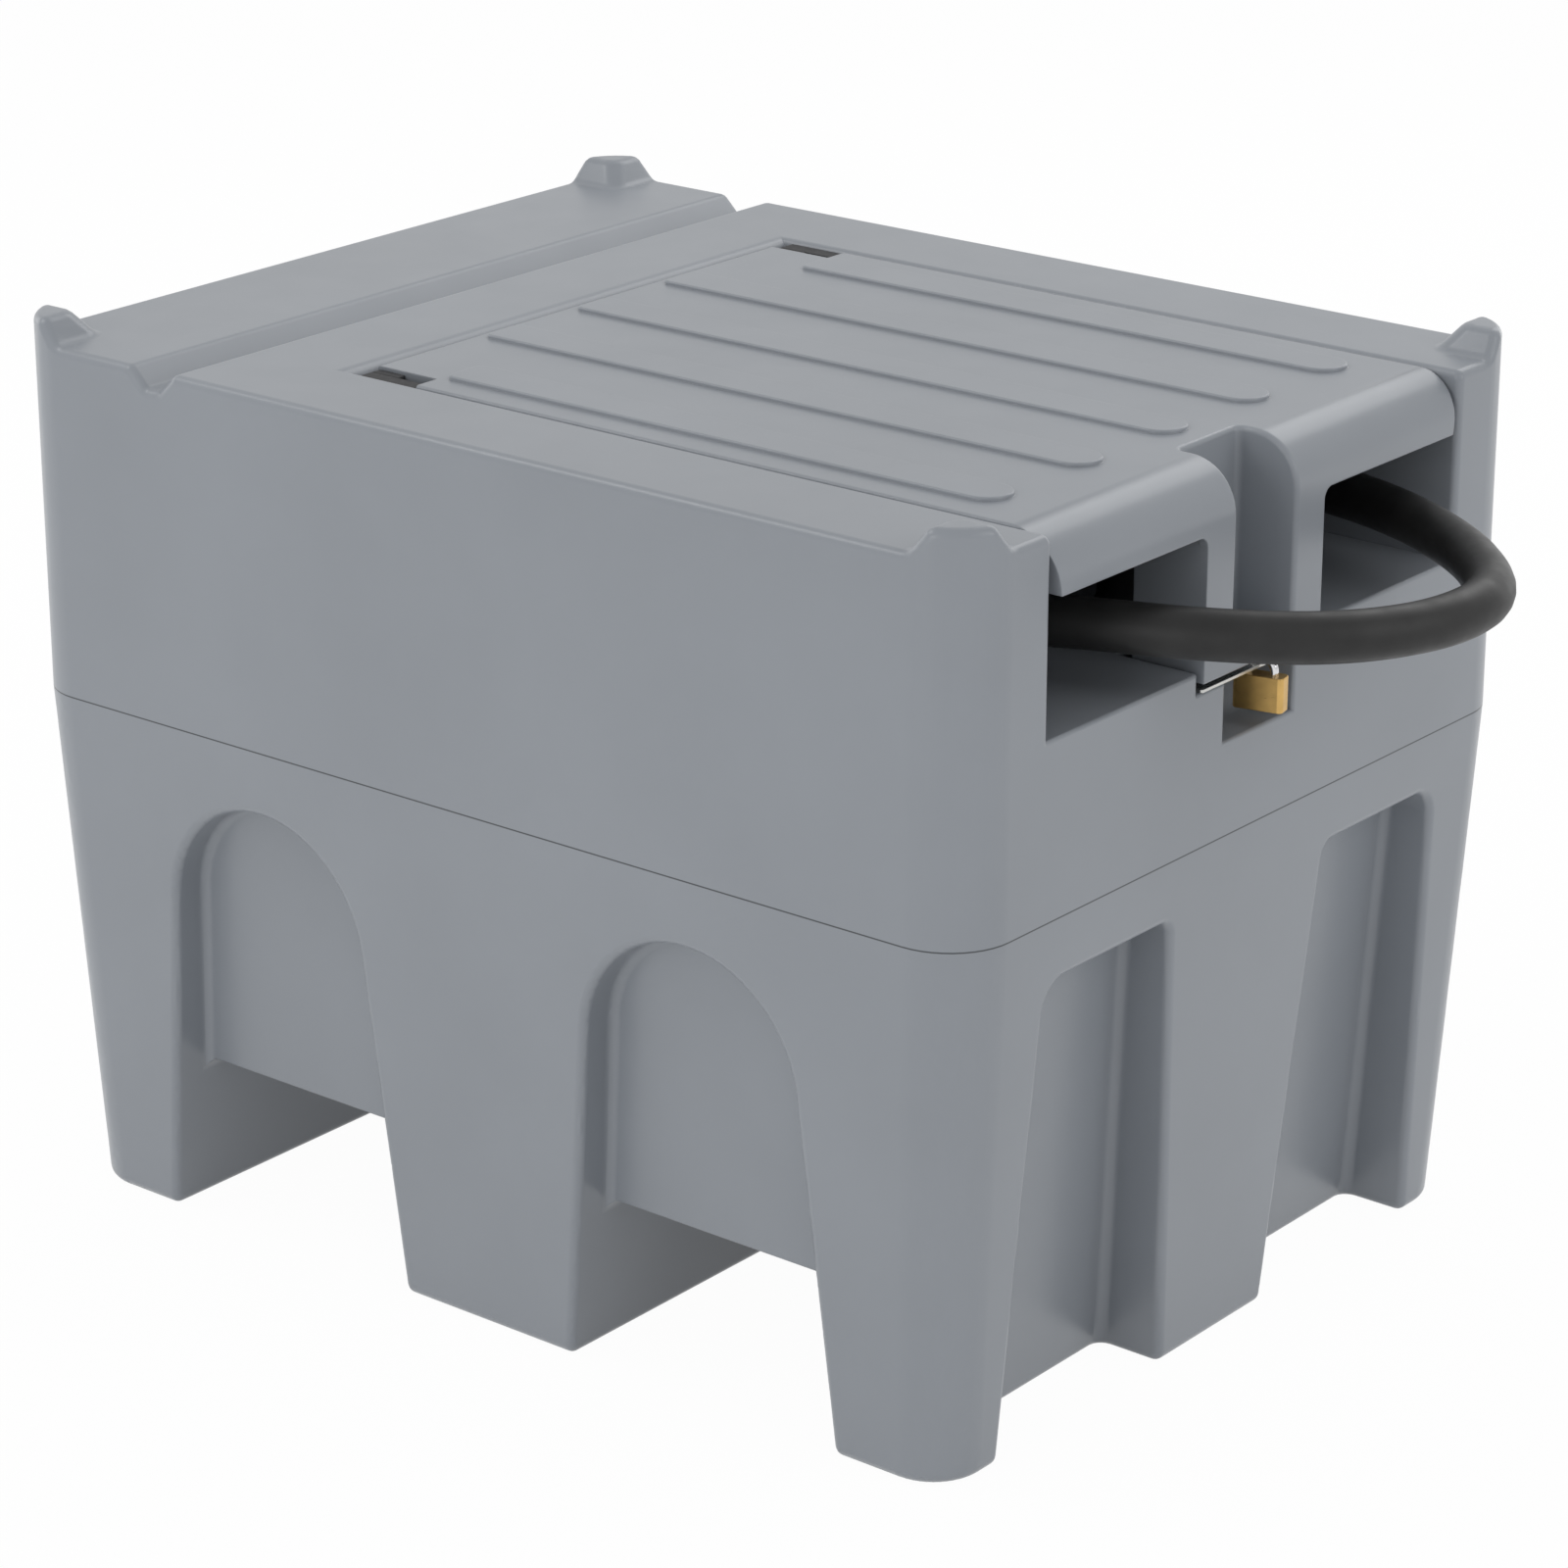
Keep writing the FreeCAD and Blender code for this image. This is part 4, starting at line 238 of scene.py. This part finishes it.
def black_hose():
    """Smooth matt rubber cover with a faint drift of shade and a soft ripple."""
    surface = Surface("black_hose", (0.013, 0.013, 0.013), roughness=0.48)
    surface.set_level("Specular IOR Level", 0.4)
    surface.vary_color(surface.noise(40.0, detail=5.0), darker=0.85, lighter=1.35)
    surface.vary_roughness(surface.noise(60.0, detail=4.0), spread=0.06)
    surface.bump(surface.noise(1400.0, detail=3.0), depth=0.00006, strength=0.5)
    surface.bump(surface.noise(120.0, detail=2.0), depth=0.0003, strength=0.15)
    return surface.material


def dull_plastic(name, color, roughness):
    """Moulded engineering plastic with a spark eroded grain."""
    surface = Surface(name, color, roughness)
    surface.set_level("Specular IOR Level", 0.3)
    surface.soften_edges(0.0007)
    surface.vary_color(surface.noise(90.0, detail=3.0), darker=0.9, lighter=1.12)
    surface.vary_roughness(surface.noise(300.0, detail=2.0), spread=0.05)
    surface.bump(surface.noise(2200.0, detail=2.0), depth=0.00005, strength=0.6)
    return surface.material


def scratched_metal(name, color, roughness, stretch, depth=0.00003):
    """Metal with softened edges and fine scratches, one way or, with an even stretch, all over."""
    surface = Surface(name, color, roughness, metallic=1.0)
    surface.soften_edges(0.0005)
    surface.vary_color(surface.noise(120.0, detail=3.0), darker=0.9, lighter=1.06)
    surface.vary_roughness(surface.noise(1.0, 4.0, 0.6, stretch), spread=0.07)
    surface.bump(surface.noise(1.0, 3.0, 0.6, stretch), depth, strength=0.5)
    return surface.material


def cast_paint(name, color, roughness, grain):
    """Painted casting with a pebbled skin."""
    surface = Surface(name, color, roughness)
    surface.set_level("Coat Weight", 0.25)
    surface.set_level("Coat Roughness", 0.2)
    surface.soften_edges(0.001)
    surface.vary_color(surface.noise(60.0, detail=4.0), darker=0.88, lighter=1.1)
    surface.vary_roughness(surface.noise(200.0, detail=3.0), spread=0.06)
    surface.bump(surface.noise(grain, detail=3.0), depth=0.00015, strength=0.5)
    return surface.material


def soft_rubber():
    """Moulded black rubber."""
    surface = Surface("soft_rubber", (0.020, 0.020, 0.021), roughness=0.65)
    surface.vary_color(surface.noise(150.0, detail=3.0), darker=0.85, lighter=1.25)
    surface.bump(surface.noise(1800.0, detail=3.0), depth=0.00008, strength=0.5)
    return surface.material


def laminated_iron():
    """Stacked core sheets, with fine lines across the shaft."""
    surface = Surface("laminated_iron", (0.20, 0.19, 0.18), roughness=0.45, metallic=1.0)
    surface.vary_color(surface.noise(80.0, detail=3.0), darker=0.8, lighter=1.1)
    surface.bump(surface.noise(1.0, 2.0, 0.5, (2500.0, 40.0, 40.0)), depth=0.00012, strength=0.6)
    return surface.material


def even(scale):
    """The same stretch along all three axes."""
    return (scale, scale, scale)


def make_materials():
    """All finishes, by the record's slot names."""
    steel = (0.60, 0.60, 0.58)
    plating = (0.72, 0.72, 0.73)
    zinc = (0.55, 0.56, 0.57)
    aluminium = (0.62, 0.63, 0.64)
    return {
        "grey_polyethylene": moulded_grey(),
        "dark_nylon": dull_plastic("dark_nylon", (0.034, 0.034, 0.036), 0.60),
        "black_plastic": dull_plastic("black_plastic", (0.014, 0.014, 0.015), 0.45),
        "red_plastic": dull_plastic("red_plastic", (0.35, 0.010, 0.008), 0.30),
        "black_rubber": soft_rubber(),
        "brass": scratched_metal("brass", (0.62, 0.40, 0.14), 0.34, (60.0, 60.0, 1800.0), 0.00001),
        "stainless_steel": scratched_metal("stainless_steel", steel, 0.28, (60.0, 1800.0, 1800.0)),
        "plated_steel": scratched_metal("plated_steel", plating, 0.12, even(300.0), 0.00001),
        "zinc_steel": scratched_metal("zinc_steel", zinc, 0.36, even(500.0)),
        "pump_paint": cast_paint("pump_paint", (0.075, 0.080, 0.088), 0.40, grain=420.0),
        "motor_paint": cast_paint("motor_paint", (0.013, 0.013, 0.014), 0.35, grain=900.0),
        "core_iron": laminated_iron(),
        "cast_aluminium": scratched_metal("cast_aluminium", aluminium, 0.42, even(700.0), 0.00006),
    }


# Smooth shading of the solids

def dress_nodes(materials):
    """Give each solid its finish and shade its round faces smoothly."""
    slots = {entry["node"]: entry["material_slot"] for entry in frame["record"]["subparts"]}
    for name, obj in nodes.items():
        obj.data.materials.clear()
        obj.data.materials.append(materials[slots[name]])
        for polygon in obj.data.polygons:
            polygon.use_smooth = True
            polygon.material_index = 0
        weld = obj.modifiers.new("weld", "WELD")
        weld.merge_threshold = WELD_DISTANCE
        split = obj.modifiers.new("sharp_edges", "EDGE_SPLIT")
        split.split_angle = math.radians(SHARP_ANGLE)
        flat = obj.modifiers.new("flat_faces", "WEIGHTED_NORMAL")
        flat.mode = "FACE_AREA"
        flat.weight = 100
        flat.keep_sharp = True


# Hose

def coil_point(index):
    """One point of the coil in the well: the turns lie flat, then climb over themselves."""
    angle = math.radians(COIL_FIRST + COIL_STEP * index)
    climb = min(max((index - COIL_RISE_FROM) / (COIL_RISE_TO - COIL_RISE_FROM), 0), 1)
    return (COIL_CENTRE[0] + COIL_RADIUS * math.cos(angle),
            COIL_CENTRE[1] + COIL_RADIUS * math.sin(angle),
            COIL_LOW + (COIL_HIGH - COIL_LOW) * climb)


def hose_route():
    """Corners of the hose's centre line, from the pump to the nozzle."""
    coil = [coil_point(index) for index in range(COIL_POINTS)]
    return LEAD_POINTS + coil + LOOP_POINTS + [HOSE_END]


def add_hose():
    """The delivery hose as one smooth curve with a round section."""
    data = bpy.data.curves.new("hose", "CURVE")
    data.dimensions = "3D"
    data.bevel_depth = HOSE_RADIUS
    data.bevel_resolution = 8
    data.resolution_u = 12
    data.use_fill_caps = True
    spline = data.splines.new("NURBS")
    route = hose_route()
    spline.points.add(len(route) - 1)
    for point, place in zip(spline.points, route):
        point.co = (*place, 1.0)
    spline.use_endpoint_u = True
    spline.order_u = 3
    spline.use_smooth = True
    hose = bpy.data.objects.new("hose", data)
    bpy.context.scene.collection.objects.link(hose)
    data.materials.append(black_hose())
    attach(hose, "tank")
    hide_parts("delivery_hose")


# Stage

def camera_white(tree, shadow_share):
    """How much of a surface shows as plain white to the camera and in reflections."""
    path = tree.nodes.new("ShaderNodeLightPath")
    seen = path.outputs["Is Camera Ray"]
    for ray in ("Is Glossy Ray", "Is Transmission Ray"):
        either = tree.nodes.new("ShaderNodeMath")
        either.operation = "MAXIMUM"
        tree.links.new(seen, either.inputs[0])
        tree.links.new(path.outputs[ray], either.inputs[1])
        seen = either.outputs[0]
    share = tree.nodes.new("ShaderNodeMath")
    share.operation = "MULTIPLY"
    share.inputs[1].default_value = 1.0 - shadow_share
    tree.links.new(seen, share.inputs[0])
    return share.outputs[0]


def mix_with_white(tree, lit, white, shadow_share, output):
    """Show the white shader to the camera and in reflections, and the lit one to all other rays."""
    mix = tree.nodes.new("ShaderNodeMixShader")
    tree.links.new(camera_white(tree, shadow_share), mix.inputs["Fac"])
    tree.links.new(lit.outputs[0], mix.inputs[1])
    tree.links.new(white.outputs[0], mix.inputs[2])
    tree.links.new(mix.outputs[0], output.inputs["Surface"])


def floor_material():
    """Pale matt floor that shows nearly white, with a faint shadow."""
    material = bpy.data.materials.new("pale_floor")
    material.use_nodes = True
    tree = material.node_tree
    shader = tree.nodes["Principled BSDF"]
    shader.inputs["Base Color"].default_value = (FLOOR_SHADE, FLOOR_SHADE, FLOOR_SHADE, 1.0)
    shader.inputs["Roughness"].default_value = 0.9
    shader.inputs["Specular IOR Level"].default_value = 0.1
    glow = tree.nodes.new("ShaderNodeEmission")
    glow.inputs["Strength"].default_value = 1.0
    mix_with_white(tree, shader, glow, FLOOR_SHADOW_SHARE, tree.nodes["Material Output"])
    return material


def add_floor():
    """Wide pale floor just under the feet."""
    mesh = bpy.data.meshes.new("floor")
    half = FLOOR_HALF
    corners = [(-half, -half, 0), (half, -half, 0), (half, half, 0), (-half, half, 0)]
    mesh.from_pydata(corners, [], [(0, 1, 2, 3)])
    mesh.materials.append(floor_material())
    floor = bpy.data.objects.new("floor", mesh)
    floor.location.z = -FLOOR_DROP
    bpy.context.scene.collection.objects.link(floor)


def add_world():
    """Soft white light all round, plain white to the camera and in reflections."""
    world = bpy.data.worlds.new("studio")
    world.use_nodes = True
    tree = world.node_tree
    lit = tree.nodes["Background"]
    lit.inputs["Color"].default_value = (1.0, 1.0, 1.0, 1.0)
    lit.inputs["Strength"].default_value = WORLD_STRENGTH
    white = tree.nodes.new("ShaderNodeBackground")
    white.inputs["Strength"].default_value = 1.0
    mix_with_white(tree, lit, white, 0.0, tree.nodes["World Output"])
    bpy.context.scene.world = world


def add_lamps():
    """Large square soft boxes over and beside the tank, all facing its middle."""
    for name, place, size, power in LAMPS:
        data = bpy.data.lights.new(name, "AREA")
        data.shape = "SQUARE"
        data.size = size
        data.energy = power
        lamp = bpy.data.objects.new(name, data)
        lamp.location = place
        lamp.rotation_euler = (Vector(LAMP_TARGET) - Vector(place)).to_track_quat("-Z", "Y").to_euler()
        bpy.context.scene.collection.objects.link(lamp)


add_camera()
add_hose()
dress_nodes(make_materials())
add_floor()
add_world()
add_lamps()
bpy.context.scene.view_settings.view_transform = "Standard"
